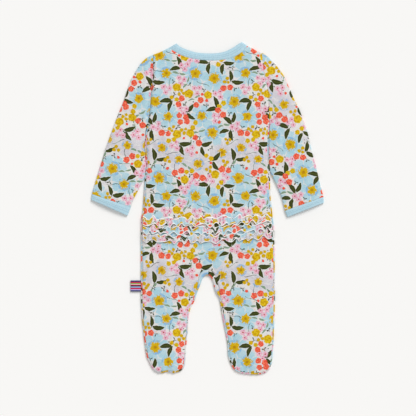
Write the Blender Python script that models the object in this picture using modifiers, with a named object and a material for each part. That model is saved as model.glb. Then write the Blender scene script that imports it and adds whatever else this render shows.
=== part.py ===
# Footed baby sleepsuit, laid flat with its back up. Metres, +Z up, +Y towards the neck.
# Every table below is in millimetres, in plan, seen from above.
import math

import bmesh
import bpy
import numpy as np

NAME = "Footed Baby Sleepsuit"
MM = 0.001
SIDES = ("left", "right")
AWAY = {"left": -1.0, "right": 1.0}

# cloth
WALL = 1.2              # one layer of printed jersey
BAND_WALL = 1.3         # binding, folded over the raw edge
FRILL_WALL = 1.0        # gathered strip
SEAM = 0.3              # free width where two pieces are sewn
SLIT = 0.4              # free width between a sleeve and the side it lies against

# lie of the two layers
ROLL = 1.6              # outer radius where a layer turns over at the edge
EDGE_TOP = 2.0 * ROLL   # height of the upper layer at the edges
CROWN = 2.2             # how much higher the upper layer lies in the middle
CROWN_RUN = 15.0        # how far from the edge it takes to rise
TURN = 0.6              # width of front cloth that shows past the roll on the upper side

# mesh
SHOULDER_COLS = 3
SIDE_COLS = 8
CROTCH_COLS = 6
YOKE_ROWS = 10
SLIT_ROWS = 8
TRUNK_ROWS = 13
LEG_ROWS = 12
FOOT_ROWS = 4
SLEEVE_COLS = 7
SLEEVE_ROWS = 13
BAND_COLS = 18
ROLL_STEPS = 4

# frills over the seat
FRILL_LINES = (         # x, height of the four frill edges, from the upper one down
    (-105.5, -12.6, -25.6, -38.0, -50.4),
    (-60.0, -12.8, -26.4, -39.6, -52.0),
    (0.0, -12.2, -26.2, -39.8, -52.6),
    (60.0, -9.4, -23.4, -36.6, -48.8),
    (106.4, -8.6, -20.8, -32.8, -44.0),
)
FRILL_WAVES = (         # waves across, shift of the first one, rise of the waves
    (13.4, 0.2, 1.7),
    (14.6, 1.9, 1.9),
    (13.8, 3.4, 1.8),
    (12.7, 0.9, 1.6),
)
FRILL_ENDS = ((-105.6, 104.2), (-105.8, 105.4), (-106.0, 106.2))
FRILL_SWAY = 1.1        # how far a frill edge wanders up and down the seat
FRILL_SPACE = 0.65      # half the space between two frills
FRILL_LIFT = 0.25       # extra height of a frill over the seat, under its waves
FRILL_COLS = 72

# strip behind the front opening
STRIP_WIDTH = 20.0
STRIP_ABOVE_CROTCH = 18.0
CENTRE_X = 0.6          # middle of the garment across
CHEST_Y = 138.5         # level of the armpits

# side label, a folded ribbon
LABEL_LENGTH = 18.6
LABEL_TOP = -114.1
LABEL_BOTTOM = -131.4
LABEL_WALL = 1.0
LABEL_THICK = 2.3

# outlines: x, y and, where it isn't TURN, the width of front cloth that shows
LOWER = (
    ("slit_left", SLIT_ROWS, (
        (-97.8, 138.5), (-100.9, 125.5), (-101.5, 114.1), (-102.2, 99.4),
        (-100.2, 81.5), (-99.6, 71.7), (-101.1, 61.9), (-102.2, 52.2))),
    ("trunk_left", TRUNK_ROWS, (
        (-102.2, 52.2), (-102.7, 40.8), (-104.3, 16.3), (-105.8, -3.3),
        (-108.1, -14.7), (-108.4, -48.9), (-108.4, -101.1))),
    ("leg_left", LEG_ROWS, (
        (-108.4, -101.1), (-108.4, -146.7), (-106.8, -176.0), (-105.1, -192.3),
        (-103.8, -206.2), (-101.9, -220.0))),
    ("foot_side_left", FOOT_ROWS, (
        (-101.9, -220.0), (-99.4, -237.3), (-95.7, -246.8), (-91.6, -254.9),
        (-87.5, -260.8))),
    ("toe_left", SIDE_COLS, (
        (-87.5, -260.8), (-82.0, -264.7), (-76.3, -266.0), (-70.1, -264.7),
        (-66.3, -263.7), (-60.1, -265.2), (-54.6, -266.0), (-49.4, -264.4),
        (-42.9, -261.8), (-39.0, -258.4))),
    ("foot_inner_left", FOOT_ROWS, (
        (-39.0, -258.4), (-36.7, -249.9), (-35.7, -237.3), (-34.4, -220.0))),
    ("inner_left", LEG_ROWS, (
        (-34.4, -220.0), (-32.6, -200.0), (-31.8, -187.4), (-30.8, -174.4),
        (-27.5, -159.7), (-21.5, -149.3), (-17.8, -137.4), (-15.0, -129.9, 0.8),
        (-12.1, -122.6, 2.4), (-8.5, -112.5, 5.0))),
    ("crotch", CROTCH_COLS, (
        (-8.5, -112.5, 5.0), (-5.4, -107.9, 6.4), (-0.8, -106.4, 7.2),
        (4.1, -108.1, 6.4), (8.3, -115.1, 5.0))),
    ("inner_right", LEG_ROWS, (
        (8.3, -115.1, 5.0), (10.8, -124.9, 5.2), (13.5, -134.0, 4.4),
        (18.4, -142.6, 1.0), (21.0, -153.2), (22.8, -164.6), (24.4, -174.4),
        (26.9, -187.4), (30.2, -203.8), (32.6, -220.0))),
    ("foot_inner_right", FOOT_ROWS, (
        (32.6, -220.0), (33.7, -237.5), (37.5, -249.9), (43.8, -260.5))),
    ("toe_right", SIDE_COLS, (
        (43.8, -260.5), (53.5, -265.7), (66.0, -267.6), (82.5, -268.1),
        (93.4, -265.7), (99.6, -261.5))),
    ("foot_side_right", FOOT_ROWS, (
        (99.6, -261.5), (103.2, -254.9), (105.5, -243.7), (107.4, -220.0))),
    ("leg_right", LEG_ROWS, (
        (107.4, -220.0), (108.4, -195.6), (109.4, -176.0), (109.9, -146.7),
        (109.7, -101.1))),
    ("trunk_right", TRUNK_ROWS, (
        (109.7, -101.1), (109.4, -65.2), (108.7, -35.9), (107.4, -19.6),
        (105.1, 0.0), (103.2, 16.3), (102.2, 40.8), (102.2, 61.9))),
    ("slit_right", SLIT_ROWS, (
        (102.2, 61.9), (101.2, 68.5), (99.8, 84.8), (99.8, 110.8),
        (100.7, 138.5))),
)
UPPER_LEFT = (
    ("fold", 2, ((-50.5, 271.6), (-63.9, 264.1))),
    ("shoulder", SHOULDER_COLS, ((-63.9, 264.1), (-77.4, 257.5), (-89.2, 253.0))),
    ("cap", YOKE_ROWS, (
        (-89.2, 253.0), (-97.0, 249.4), (-103.5, 244.5), (-110.0, 237.2),
        (-116.5, 226.6), (-123.1, 215.2), (-129.6, 198.9), (-136.1, 179.3),
        (-142.6, 163.0), (-149.1, 146.7))),
    ("sleeve", SLEEVE_ROWS, (
        (-149.1, 146.7), (-155.7, 128.8), (-162.2, 110.8), (-168.7, 91.3),
        (-175.2, 70.1), (-181.7, 48.9), (-188.3, 25.8))),
    ("cuff", 2, ((-188.3, 25.8), (-189.7, 16.5))),
)
UPPER_RIGHT = (
    ("fold", 2, ((55.9, 274.0), (64.7, 267.8))),
    ("shoulder", SHOULDER_COLS, (
        (64.7, 267.8), (72.5, 264.1), (79.1, 260.0), (85.6, 257.5), (89.3, 256.1))),
    ("cap", YOKE_ROWS, (
        (89.3, 256.1), (98.6, 249.7), (105.1, 242.9), (111.7, 236.3),
        (118.2, 228.2), (124.7, 218.4), (131.2, 203.8), (137.7, 189.1),
        (144.3, 174.4), (150.8, 161.4), (157.3, 143.4))),
    ("sleeve", SLEEVE_ROWS, (
        (157.3, 143.4), (163.8, 123.9), (170.0, 96.2), (176.4, 73.3),
        (182.9, 45.6), (189.2, 21.2))),
    ("cuff", 2, ((189.2, 21.2), (189.7, 11.4))),
)
SLEEVE_IN_LEFT = (
    ("slit", SLIT_ROWS, LOWER[0][2]),
    ("free", SLEEVE_ROWS - SLIT_ROWS, (
        (-102.2, 52.2), (-107.6, 42.4), (-112.3, 32.6), (-120.6, 16.3), (-124.9, 4.4))),
    ("cuff", 2, ((-124.9, 4.4), (-129.9, -9.1))),
)
SLEEVE_IN_RIGHT = (
    ("slit", SLIT_ROWS, tuple(reversed(LOWER[-1][2]))),
    ("free", SLEEVE_ROWS - SLIT_ROWS, (
        (102.2, 61.9), (112.1, 40.8), (120.8, 19.6), (125.7, -1.3))),
    ("cuff", 2, ((125.7, -1.3), (129.9, -11.4))),
)
ARMHOLE = {
    "left": (
        (-89.2, 253.0), (-88.5, 234.7), (-88.8, 216.8), (-90.8, 202.1),
        (-92.1, 190.7), (-93.7, 167.9), (-95.4, 153.2), (-97.8, 138.5)),
    "right": (
        (89.3, 256.1), (89.6, 247.8), (90.5, 234.7), (93.7, 215.2),
        (98.5, 195.6), (99.6, 179.3), (100.1, 161.4), (100.7, 138.5)),
}
NECK_EDGE = (
    (-50.5, 271.6), (-41.6, 264.7), (-24.3, 258.4), (-10.6, 255.9), (10.1, 255.3),
    (26.9, 257.9), (41.6, 264.7), (50.7, 271.2), (55.9, 274.0))
NECK_SEAM = (
    (-63.9, 264.1), (-56.2, 260.1), (-46.0, 253.8), (-32.3, 248.6), (-18.7, 245.8),
    (-5.7, 244.3), (10.1, 243.5), (32.9, 246.3), (47.8, 252.0), (55.9, 257.9),
    (64.7, 267.8))
FRONT_EDGE = (
    (-50.5, 271.6), (-47.3, 257.5), (-38.3, 244.5), (-22.0, 233.9), (1.6, 230.6),
    (22.0, 233.9), (40.8, 244.5), (51.3, 259.2), (55.9, 274.0))
FRONT_SEAM = (
    (-63.9, 264.1), (-59.5, 249.4), (-48.1, 233.9), (-28.5, 223.3), (1.6, 219.2),
    (28.5, 223.3), (49.7, 236.3), (60.3, 251.8), (64.7, 267.8))

FOLDS = (               # x0, y0, x1, y1, half width, rise
    (-104.0, 120.0, -128.0, 152.0, 7.0, -0.7),
    (-110.0, 100.0, -142.0, 130.0, 8.0, 0.6),
    (-116.0, 78.0, -150.0, 92.0, 7.0, -0.6),
    (-126.0, 54.0, -162.0, 66.0, 8.0, 0.5),
    (-140.0, 28.0, -166.0, 44.0, 7.0, -0.4),
    (108.0, 132.0, 130.0, 160.0, 8.0, -0.6),
    (112.0, 106.0, 146.0, 124.0, 7.0, 0.7),
    (110.0, 84.0, 150.0, 92.0, 7.0, -0.6),
    (128.0, 50.0, 166.0, 60.0, 9.0, 0.5),
    (-62.0, 150.0, -50.0, 30.0, 13.0, 0.5),
    (34.0, 190.0, 52.0, 50.0, 12.0, -0.5),
    (-6.0, 200.0, 4.0, 90.0, 14.0, 0.4),
    (-74.0, -70.0, -62.0, -160.0, 10.0, 0.5),
    (62.0, -66.0, 70.0, -165.0, 10.0, -0.5),
    (-14.0, -92.0, -62.0, -74.0, 7.0, -0.5),
    (16.0, -94.0, 58.0, -70.0, 8.0, -0.5),
    (-84.0, -176.0, -54.0, -214.0, 9.0, 0.5),
    (56.0, -172.0, 88.0, -220.0, 9.0, 0.6),
    (-78.0, -236.0, -52.0, -240.0, 10.0, -0.5),
    (58.0, -242.0, 86.0, -236.0, 10.0, -0.5),
)


def spline(points, steps=10):
    """Smooth line through the points, with the place of each point on it."""
    rows = [np.array((p[0], p[1], p[2] if len(p) > 2 else TURN)) for p in points]
    rows = [2 * rows[0] - rows[1]] + rows + [2 * rows[-1] - rows[-2]]
    line = []
    marks = []
    for a, b, c, d in zip(rows, rows[1:], rows[2:], rows[3:]):
        marks.append(len(line))
        for k in range(steps):
            t = k / steps
            line.append(0.5 * (2 * b + (c - a) * t + (2 * a - 5 * b + 4 * c - d) * t ** 2
                               + (3 * b - a - 3 * c + d) * t ** 3))
    marks.append(len(line))
    line.append(rows[-2])
    return np.array(line), marks


def resample(line, count):
    """count + 1 places at even distances along a line."""
    line = np.asarray(line, float)
    run = np.concatenate(([0.0], np.cumsum(np.hypot(*(line[1:, :2] - line[:-1, :2]).T))))
    at = np.linspace(0.0, run[-1], count + 1)
    return np.stack([np.interp(at, run, line[:, k]) for k in range(line.shape[1])], axis=1)


def curve(points, count):
    line, marks = spline(points)
    return resample(line[:, :2], count)


def rim(portions, outward):
    """Sampled outline in named portions: x, y, outward x, outward y, turn."""
    points = [p for _, _, table in portions for p in table[:-1]]
    points.append(portions[-1][2][-1])
    line, marks = spline(points)
    samples = []
    spans = {}
    start = 0
    for name, count, table in portions:
        end = start + len(table) - 1
        part = resample(line[marks[start]:marks[end] + 1], count)
        spans[name] = (len(samples), len(samples) + count)
        samples.extend(part[:-1])
        start = end
    samples.append(line[-1])
    samples = np.array(samples)
    ahead = np.gradient(samples[:, :2], axis=0)
    ahead /= np.linalg.norm(ahead, axis=1)[:, None]
    normal = outward * np.stack([ahead[:, 1], -ahead[:, 0]], axis=1)
    whole = np.concatenate([samples[:, :2], normal, samples[:, 2:]], axis=1)
    return {name: whole[a:b + 1] for name, (a, b) in spans.items()}


def inset(edge, depth):
    return edge[:, :2] - edge[:, 2:4] * np.asarray(depth).reshape(-1, 1)


def straight(a, b, count):
    a, b = np.asarray(a, float), np.asarray(b, float)
    return a + (b - a) * np.linspace(0.0, 1.0, count + 1)[:, None]


def patch(top, bottom, left, right):
    """Rows of plan points filled in between four edges."""
    top, bottom, left, right = (np.asarray(e, float) for e in (top, bottom, left, right))
    u = np.linspace(0.0, 1.0, len(top))[None, :, None]
    v = np.linspace(0.0, 1.0, len(left))[:, None, None]
    ruled = (1 - v) * top[None] + v * bottom[None] + (1 - u) * left[:, None] + u * right[:, None]
    corners = ((1 - u) * (1 - v) * top[0] + u * (1 - v) * top[-1]
               + (1 - u) * v * bottom[0] + u * v * bottom[-1])
    return ruled - corners


def shifted(points, dx=0.0, dy=0.0):
    return np.asarray(points, float) + np.array((dx, dy))


def towards(a, b, step):
    return a + (b - a) * step / np.linalg.norm(b - a)


def beside(line, distance_out):
    """Line moved to its right-hand side."""
    ahead = np.gradient(line, axis=0)
    ahead /= np.linalg.norm(ahead, axis=1)[:, None]
    return line + np.stack([ahead[:, 1], -ahead[:, 0]], axis=1) * distance_out


lower = rim(LOWER, 1.0)
upper = {"left": rim(UPPER_LEFT, 1.0), "right": rim(UPPER_RIGHT, -1.0)}
inner = {"left": rim(SLEEVE_IN_LEFT, -1.0), "right": rim(SLEEVE_IN_RIGHT, 1.0)}
neck_edge = curve(NECK_EDGE, BAND_COLS)


def silhouette():
    """All edges where the two layers come together, as segments."""
    lines = [lower[name][:, :2] for name, _, _ in LOWER] + [neck_edge]
    for side in ("left", "right"):
        lines += [upper[side][k][:, :2] for k in ("fold", "shoulder", "cap", "sleeve", "cuff")]
        lines += [inner[side][k][:, :2] for k in ("slit", "free", "cuff")]
    a = np.concatenate([line[:-1] for line in lines])
    b = np.concatenate([line[1:] for line in lines])
    return a, b


EDGE_A, EDGE_B = silhouette()


def distance(x, y, a, b):
    along = b - a
    t = ((x - a[:, 0]) * along[:, 0] + (y - a[:, 1]) * along[:, 1])
    t = np.clip(t / np.maximum((along ** 2).sum(axis=1), 1e-9), 0.0, 1.0)
    return np.hypot(x - a[:, 0] - t * along[:, 0], y - a[:, 1] - t * along[:, 1])


FOLD_A = np.array([f[0:2] for f in FOLDS])
FOLD_B = np.array([f[2:4] for f in FOLDS])
FOLD_W = np.array([f[4] for f in FOLDS])
FOLD_H = np.array([f[5] for f in FOLDS])


def top(x, y):
    """Height of the upper side of the upper layer."""
    inside = max(distance(x, y, EDGE_A, EDGE_B).min() - ROLL, 0.0)
    waves = (FOLD_H * np.exp(-(distance(x, y, FOLD_A, FOLD_B) / FOLD_W) ** 2)).sum()
    return (EDGE_TOP + CROWN * (1.0 - math.exp(-inside / CROWN_RUN))
            + waves * (1.0 - math.exp(-inside / 8.0)))


def raised(rows):
    return [[(x, y, top(x, y)) for x, y in row] for row in rows]


def floored(rows, z=0.0):
    return [[(x, y, z) for x, y in row] for row in rows]


def rolled(edge, flange=False, radius=ROLL):
    """Sections that turn from the floor up over the edge, one for each sample."""
    sections = []
    for x, y, nx, ny, turn in edge:
        cx, cy = x - nx * radius, y - ny * radius
        high = top(cx, cy)
        section = []
        for k in range(ROLL_STEPS + 1):
            angle = math.pi * k / ROLL_STEPS
            out = radius * math.sin(angle)
            section.append((cx + nx * out, cy + ny * out, high * (1 - math.cos(angle)) / 2))
        if flange:
            fx, fy = cx - nx * turn, cy - ny * turn
            section.append((fx, fy, top(fx, fy)))
        sections.append(section)
    return sections


class Surface:
    """Faces gathered from grids, welded where their corners agree."""

    def __init__(self):
        self.points = []
        self.faces = []
        self.known = {}

    def corner(self, p):
        key = tuple(round(c * 1000) for c in p)
        if key not in self.known:
            self.known[key] = len(self.points)
            self.points.append([c * MM for c in p])
        return self.known[key]

    def grid(self, rows, closed=False):
        ids = [[self.corner(p) for p in row] for row in rows]
        for near, far in zip(ids, ids[1:]):
            count = len(near)
            for k in range(count if closed else count - 1):
                m = (k + 1) % count
                face = list(dict.fromkeys((near[k], near[m], far[m], far[k])))
                if len(face) > 2:
                    self.faces.append(face)


def material(name, colour, roughness):
    mat = bpy.data.materials.new(name)
    mat.use_nodes = True
    shader = mat.node_tree.nodes["Principled BSDF"]
    shader.inputs["Base Color"].default_value = (*colour, 1.0)
    shader.inputs["Roughness"].default_value = roughness
    return mat


def piece(name, cloth, wall, mat, middle=ROLL):
    """One sewn piece: its outer side as faces, and a solidify for its wall."""
    mesh = bpy.data.meshes.new(name)
    mesh.from_pydata(cloth.points, [], cloth.faces)
    bm = bmesh.new()
    bm.from_mesh(mesh)
    bmesh.ops.remove_doubles(bm, verts=bm.verts, dist=0.00002)
    bmesh.ops.recalc_face_normals(bm, faces=bm.faces)
    facing = 0.0
    for face in bm.faces:
        face.smooth = True
        height = face.calc_center_median().z - middle * MM
        facing += face.normal.z * height * face.calc_area()
    if facing < 0:
        bmesh.ops.reverse_faces(bm, faces=bm.faces)
    bm.to_mesh(mesh)
    bm.free()
    mesh.materials.append(mat)
    obj = bpy.data.objects.new(name, mesh)
    bpy.data.collections[NAME].objects.link(obj)
    shell = obj.modifiers.new("Wall", "SOLIDIFY")
    shell.thickness = wall * MM
    shell.offset = -1.0
    shell.use_even_offset = True
    shell.use_quality_normals = True
    return obj


def half(side):
    """Lower edges of one side: down to the toe, then up the inner leg to the crotch."""
    keys = ("slit", "trunk", "leg", "foot_side", "toe", "foot_inner", "inner")
    edges = {key: lower[key + "_" + side].copy() for key in keys}
    middle = CROTCH_COLS // 2
    if side == "right":
        edges = {key: edge[::-1] for key, edge in edges.items()}
        edges["crotch"] = lower["crotch"][middle:][::-1].copy()
    else:
        edges["crotch"] = lower["crotch"][:middle + 1].copy()
    return edges


def torso(cloth, side, depth, lift, neck, gap, shoulder_depth):
    """Half of a panel from the shoulder to the crotch. Returns its edges for the leg."""
    away = AWAY[side]
    edges = half(side)
    edges["crotch"][-1, 0] += away * gap
    flat = {key: inset(edge, depth(edge)) for key, edge in edges.items()}
    head = straight(flat["leg"][0], flat["crotch"][0], SIDE_COLS)
    bottom = np.concatenate([head[:-1], flat["crotch"]])
    outer = np.concatenate([flat["slit"][:-1], flat["trunk"]])

    middle = BAND_COLS // 2
    neck = neck[:middle + 1] if side == "left" else neck[middle:][::-1]
    neck[-1, 0] += away * gap
    share = (bottom[:, 0] - bottom[0, 0]) / (bottom[-1, 0] - bottom[0, 0])
    share = 0.4 * share + 0.6 * np.linspace(0.0, 1.0, len(bottom))
    waist = np.array((CENTRE_X + away * gap, CHEST_Y))
    chest = outer[0] + (waist - outer[0]) * share[:, None]
    cloth.grid(lift(patch(chest, bottom, outer, straight(waist, bottom[-1], len(outer) - 1))))

    level = shifted(chest, dy=SLIT)
    cloth.grid(lift([level, chest]))
    shoulder = inset(upper[side]["shoulder"], shoulder_depth)[::-1]
    shoulder[0] = towards(shoulder[0], shoulder[1], SEAM)
    shoulder[-1] = towards(shoulder[-1], shoulder[-2], 2 * SEAM)
    above = np.concatenate([shoulder, neck[1:]])
    hole = shifted(curve(ARMHOLE[side], YOKE_ROWS), dx=-away * SEAM / 2)
    hole[0] = shoulder[0]
    hole[-1, 1] += SLIT
    under = np.concatenate([hole[-1:], level])
    opening = straight(above[-1], under[-1], YOKE_ROWS)
    cloth.grid(lift(patch(above, under, hole, opening)))
    return edges, flat, head, shoulder


def back_panel(mat):
    """One panel from the neck to the soles, with both legs."""
    cloth = Surface()
    for side in SIDES:
        neck = beside(curve(NECK_SEAM, BAND_COLS), SEAM)
        edges, flat, head, shoulder = torso(
            cloth, side, lambda edge: ROLL + 1.2 * SEAM + edge[:, 4], raised, neck, 0.0, ROLL)
        outer = np.concatenate([flat["leg"], flat["foot_side"][1:]])
        inseam = np.concatenate([flat["foot_inner"], flat["inner"][1:]])[::-1]
        cloth.grid(raised(patch(head, flat["toe"], outer, inseam)))
        edge = upper[side]["shoulder"][::-1].copy()
        edge[:, :2] = shoulder + edge[:, 2:4] * ROLL
        cloth.grid(rolled(edge))
    return piece("back", cloth, WALL, mat)


def front_panel(side, mat):
    """Half of the front down to the ankle, turned up over the edges."""
    cloth = Surface()
    neck = beside(curve(FRONT_SEAM, BAND_COLS), SEAM)
    edges, flat, head, shoulder = torso(
        cloth, side, lambda edge: ROLL, floored, neck, SEAM / 2, ROLL + 0.8)
    ankle = straight(flat["leg"][-1], flat["inner"][0], SIDE_COLS)
    cloth.grid(floored(patch(head, ankle, flat["leg"], flat["inner"][::-1])))
    outer = np.concatenate([edges["slit"][:-1], edges["trunk"][:-1], edges["leg"]])
    inseam = np.concatenate([edges["inner"][:-1], edges["crotch"]])
    cloth.grid(rolled(outer, flange=True))
    cloth.grid(rolled(inseam, flange=True))
    return piece("front_" + side, cloth, WALL, mat)


def foot(side, mat):
    """Upper of the foot, on the under side, turned up round the toe."""
    cloth = Surface()
    edges = half(side)
    edge = np.concatenate([edges["foot_side"], edges["toe"][1:], edges["foot_inner"][1:]])
    edge[0, 1] -= SEAM
    edge[-1, 1] -= SEAM
    flat = inset(edge, ROLL)
    down, along = flat[:FOOT_ROWS + 1], flat[FOOT_ROWS:FOOT_ROWS + SIDE_COLS + 1]
    up = flat[FOOT_ROWS + SIDE_COLS:]
    ankle = straight(down[0], up[-1], SIDE_COLS)
    cloth.grid(floored(patch(ankle, along, down, up[::-1])))
    cloth.grid(rolled(edge, flange=True))
    return piece("foot_" + side, cloth, WALL, mat)


def tube(name, outer, inner_edge, rows, wall, mat):
    """Flattened tube between two edges: rows are plan points from the outer edge."""
    cloth = Surface()
    rings = []
    outer_roll = rolled(outer)
    inner_roll = rolled(inner_edge)
    for row, rise, fall in zip(rows, inner_roll, outer_roll):
        ring = [(x, y, 0.0) for x, y in row]
        ring += rise[1:-1]
        ring += [(x, y, top(x, y)) for x, y in row[::-1]]
        ring += fall[-2:0:-1]
        rings.append(ring)
    cloth.grid(rings, closed=True)
    return piece(name, cloth, wall, mat)


def sleeve(side, mat):
    """Set-in sleeve: an open cap down to the armpit, then a tube to the cuff."""
    away = AWAY[side]
    cloth = Surface()
    cap, arm = upper[side]["cap"].copy(), upper[side]["sleeve"]
    cap[0, :2] = towards(cap[0, :2], cap[1, :2], SEAM)
    cap[-1, :2] = towards(cap[-1, :2], cap[-2, :2], SLIT)
    edge = np.concatenate([cap, arm])
    under = np.concatenate([inner[side]["slit"][:-1], inner[side]["free"]])
    under[:, 0] += away * SLIT
    outside, inside = inset(edge, ROLL), inset(under, ROLL)

    left = outside[YOKE_ROWS + 1:]
    first = straight(left[0], inside[0], SLEEVE_COLS)
    wrist = straight(left[-1], inside[-1], SLEEVE_COLS)
    level = straight(outside[YOKE_ROWS], inside[0] + (0.0, SLIT), SLEEVE_COLS)
    hole = shifted(curve(ARMHOLE[side], YOKE_ROWS), dx=away * SEAM / 2)
    hole[0] = outside[0]
    hole[-1, 1] += SLIT
    peak = np.repeat(outside[:1], SLEEVE_COLS + 2, axis=0)
    across = np.concatenate([level, hole[-1:]])
    for lift in (floored, raised):
        cloth.grid(lift(patch(peak, across, outside[:YOKE_ROWS + 1], hole)))
        cloth.grid(lift([level, first]))
        cloth.grid(lift(patch(first, wrist, left, inside)))
    cloth.grid(rolled(edge))
    cloth.grid(rolled(under))
    return piece("sleeve_" + side, cloth, WALL, mat)


def cuff(side, mat):
    """Band round the end of a sleeve."""
    away = AWAY[side]
    outer = upper[side]["cuff"].copy()
    under = inner[side]["cuff"].copy()
    under[:, 0] += away * SLIT
    for edge in (outer, under):
        edge[0, :2] = towards(edge[0, :2], edge[-1, :2], 1.6 * SEAM)
    left, right = inset(outer, ROLL), inset(under, ROLL)
    rows = [straight(a, b, SLEEVE_COLS) for a, b in zip(left, right)]
    return tube("cuff_" + side, outer, under, rows, BAND_WALL, mat)


def neck_binding(mat):
    """Ring of binding round the neck, folded over at both shoulders."""
    cloth = Surface()
    seam_line, edge_line = curve(NECK_SEAM, BAND_COLS), curve(NECK_EDGE, BAND_COLS)
    front_seam, front_edge = curve(FRONT_SEAM, BAND_COLS), curve(FRONT_EDGE, BAND_COLS)
    rings = []
    for k in range(3):
        share = k / 2
        tips = {side: upper[side]["fold"][2 - k:3 - k] for side in SIDES}
        ends = {side: inset(tips[side], ROLL)[0] for side in SIDES}
        behind = seam_line * (1 - share) + edge_line * share
        before = front_seam * (1 - share) + front_edge * share
        for line in (behind, before):
            line[0], line[-1] = ends["left"], ends["right"]
        rolls = {side: rolled(tips[side])[0] for side in SIDES}
        ring = raised([behind])[0]
        ring += rolls["right"][-2:0:-1]
        ring += floored([before[::-1]])[0]
        ring += rolls["left"][1:-1]
        rings.append(ring)
    cloth.grid(rings, closed=True)
    return piece("neck_binding", cloth, BAND_WALL, mat)


def frill(number, mat):
    """Gathered strip across the seat, stitched along its middle, both edges waving."""
    cloth = Surface()
    lines = np.array(FRILL_LINES)
    start, end = FRILL_ENDS[number]
    xs = np.linspace(start, end, FRILL_COLS + 1)
    edges = []
    for k in (number, number + 1):
        waves, shift, rise = FRILL_WAVES[k]
        t = (xs - xs[0]) / (xs[-1] - xs[0])
        phase = 2 * math.pi * (waves * t + 0.3 * np.sin(2 * math.pi * (2.3 * t + 0.2 * shift)))
        phase += shift
        sway = FRILL_SWAY * np.sin(phase)
        lift = rise * (0.5 + 0.5 * np.sin(phase + 1.3 + 1.4 * number))
        edges.append((np.interp(xs, lines[:, 0], lines[:, 1 + k]) + sway, lift))
    (upper_y, upper_lift), (lower_y, lower_lift) = edges
    upper_y = upper_y - FRILL_SPACE
    lower_y = lower_y + FRILL_SPACE
    rows = []
    for v in (0.0, 0.22, 0.5, 0.78, 1.0):
        share = abs(2 * v - 1) ** 1.2
        lift = (upper_lift if v < 0.5 else lower_lift) * share
        row = []
        for x, a, b, rise in zip(xs, upper_y, lower_y, lift):
            y = a + (b - a) * v
            row.append((x, y, top(x, y) + SEAM + FRILL_WALL + FRILL_LIFT + rise))
        rows.append(row)
    cloth.grid(rows)
    return piece("frill_%d" % (number + 1), cloth, FRILL_WALL, mat)


def backing_strip(mat):
    """Flat strip behind the front opening, between the two layers."""
    cloth = Surface()
    high = curve(FRONT_SEAM, BAND_COLS)[BAND_COLS // 2, 1] - 1.5
    low = lower["crotch"][CROTCH_COLS // 2, 1] + STRIP_ABOVE_CROTCH
    rows = []
    for y in (high, low):
        rows.append([(CENTRE_X + s * STRIP_WIDTH / 2, y, 2 * WALL + SEAM) for s in (-1, 1)])
    cloth.grid(rows)
    return piece("placket", cloth, WALL, mat)


def side_label(mat):
    """Folded ribbon caught in the side seam."""
    cloth = Surface()
    root = lower["leg_left"][:, 0].min() - SEAM
    radius = LABEL_THICK / 2
    end = root - LABEL_LENGTH + radius
    section = [(root, 0.0)]
    for k in range(ROLL_STEPS + 1):
        angle = math.pi * k / ROLL_STEPS
        section.append((end - radius * math.sin(angle), radius * (1 - math.cos(angle))))
    section.append((root, LABEL_THICK))
    cloth.grid([[(x, y, z) for x, z in section] for y in (LABEL_TOP, LABEL_BOTTOM)])
    return piece("side_label", cloth, LABEL_WALL, mat, middle=radius)


def settle(pieces):
    """Moves all pieces so that the origin is under the middle of their box."""
    bpy.context.view_layer.update()
    graph = bpy.context.evaluated_depsgraph_get()
    points = []
    for obj in pieces:
        shape = obj.evaluated_get(graph).to_mesh()
        points += [v.co.copy() for v in shape.vertices]
    low = [min(p[k] for p in points) for k in range(3)]
    high = [max(p[k] for p in points) for k in range(3)]
    for obj in pieces:
        for vertex in obj.data.vertices:
            vertex.co.x -= (low[0] + high[0]) / 2
            vertex.co.y -= (low[1] + high[1]) / 2
            vertex.co.z -= low[2]
    print("size", [round(h - l, 5) for h, l in zip(high, low)])
    print("middle", [round((h + l) / 2, 5) for h, l in zip(high, low)])


def build():
    for obj in list(bpy.data.objects):
        bpy.data.objects.remove(obj)
    group = bpy.data.collections.new(NAME)
    bpy.context.scene.collection.children.link(group)
    jersey = material("printed_jersey", (0.66, 0.65, 0.60), 0.9)
    binding = material("binding", (0.40, 0.67, 0.82), 0.88)
    ribbon = material("ribbon", (0.20, 0.22, 0.35), 0.7)
    pieces = [back_panel(jersey)]
    for side in SIDES:
        pieces.append(front_panel(side, jersey))
        pieces.append(foot(side, jersey))
        pieces.append(sleeve(side, jersey))
        pieces.append(cuff(side, binding))
    pieces.append(neck_binding(binding))
    for number in range(3):
        pieces.append(frill(number, jersey))
    pieces.append(backing_strip(jersey))
    pieces.append(side_label(ribbon))
    settle(pieces)


build()
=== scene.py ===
import math
import random

import bmesh
import bpy
import numpy as np
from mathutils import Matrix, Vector


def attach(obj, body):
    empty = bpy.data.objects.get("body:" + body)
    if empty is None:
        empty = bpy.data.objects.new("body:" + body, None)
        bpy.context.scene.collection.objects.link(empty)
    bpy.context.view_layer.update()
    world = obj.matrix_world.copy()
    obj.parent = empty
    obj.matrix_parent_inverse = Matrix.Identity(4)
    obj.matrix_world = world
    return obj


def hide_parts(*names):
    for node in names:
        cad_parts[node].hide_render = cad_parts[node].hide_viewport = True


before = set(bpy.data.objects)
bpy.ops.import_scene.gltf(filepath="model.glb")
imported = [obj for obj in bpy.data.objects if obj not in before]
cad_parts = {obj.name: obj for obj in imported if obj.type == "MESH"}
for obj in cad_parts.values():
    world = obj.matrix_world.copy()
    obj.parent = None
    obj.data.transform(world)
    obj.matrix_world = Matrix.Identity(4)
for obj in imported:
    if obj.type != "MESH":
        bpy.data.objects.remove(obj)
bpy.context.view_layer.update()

# All tables are in millimetres, seen from above, before the move to the middle of the part;
# only the cuts and areas of the sheets are in metres.
mm = 0.001
inMillimetres = (1 / mm, 1 / mm, 0.0)
middle = np.array((0.06, 2.9))
sides = ("left", "right")
away = {"left": -1.0, "right": 1.0}

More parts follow.
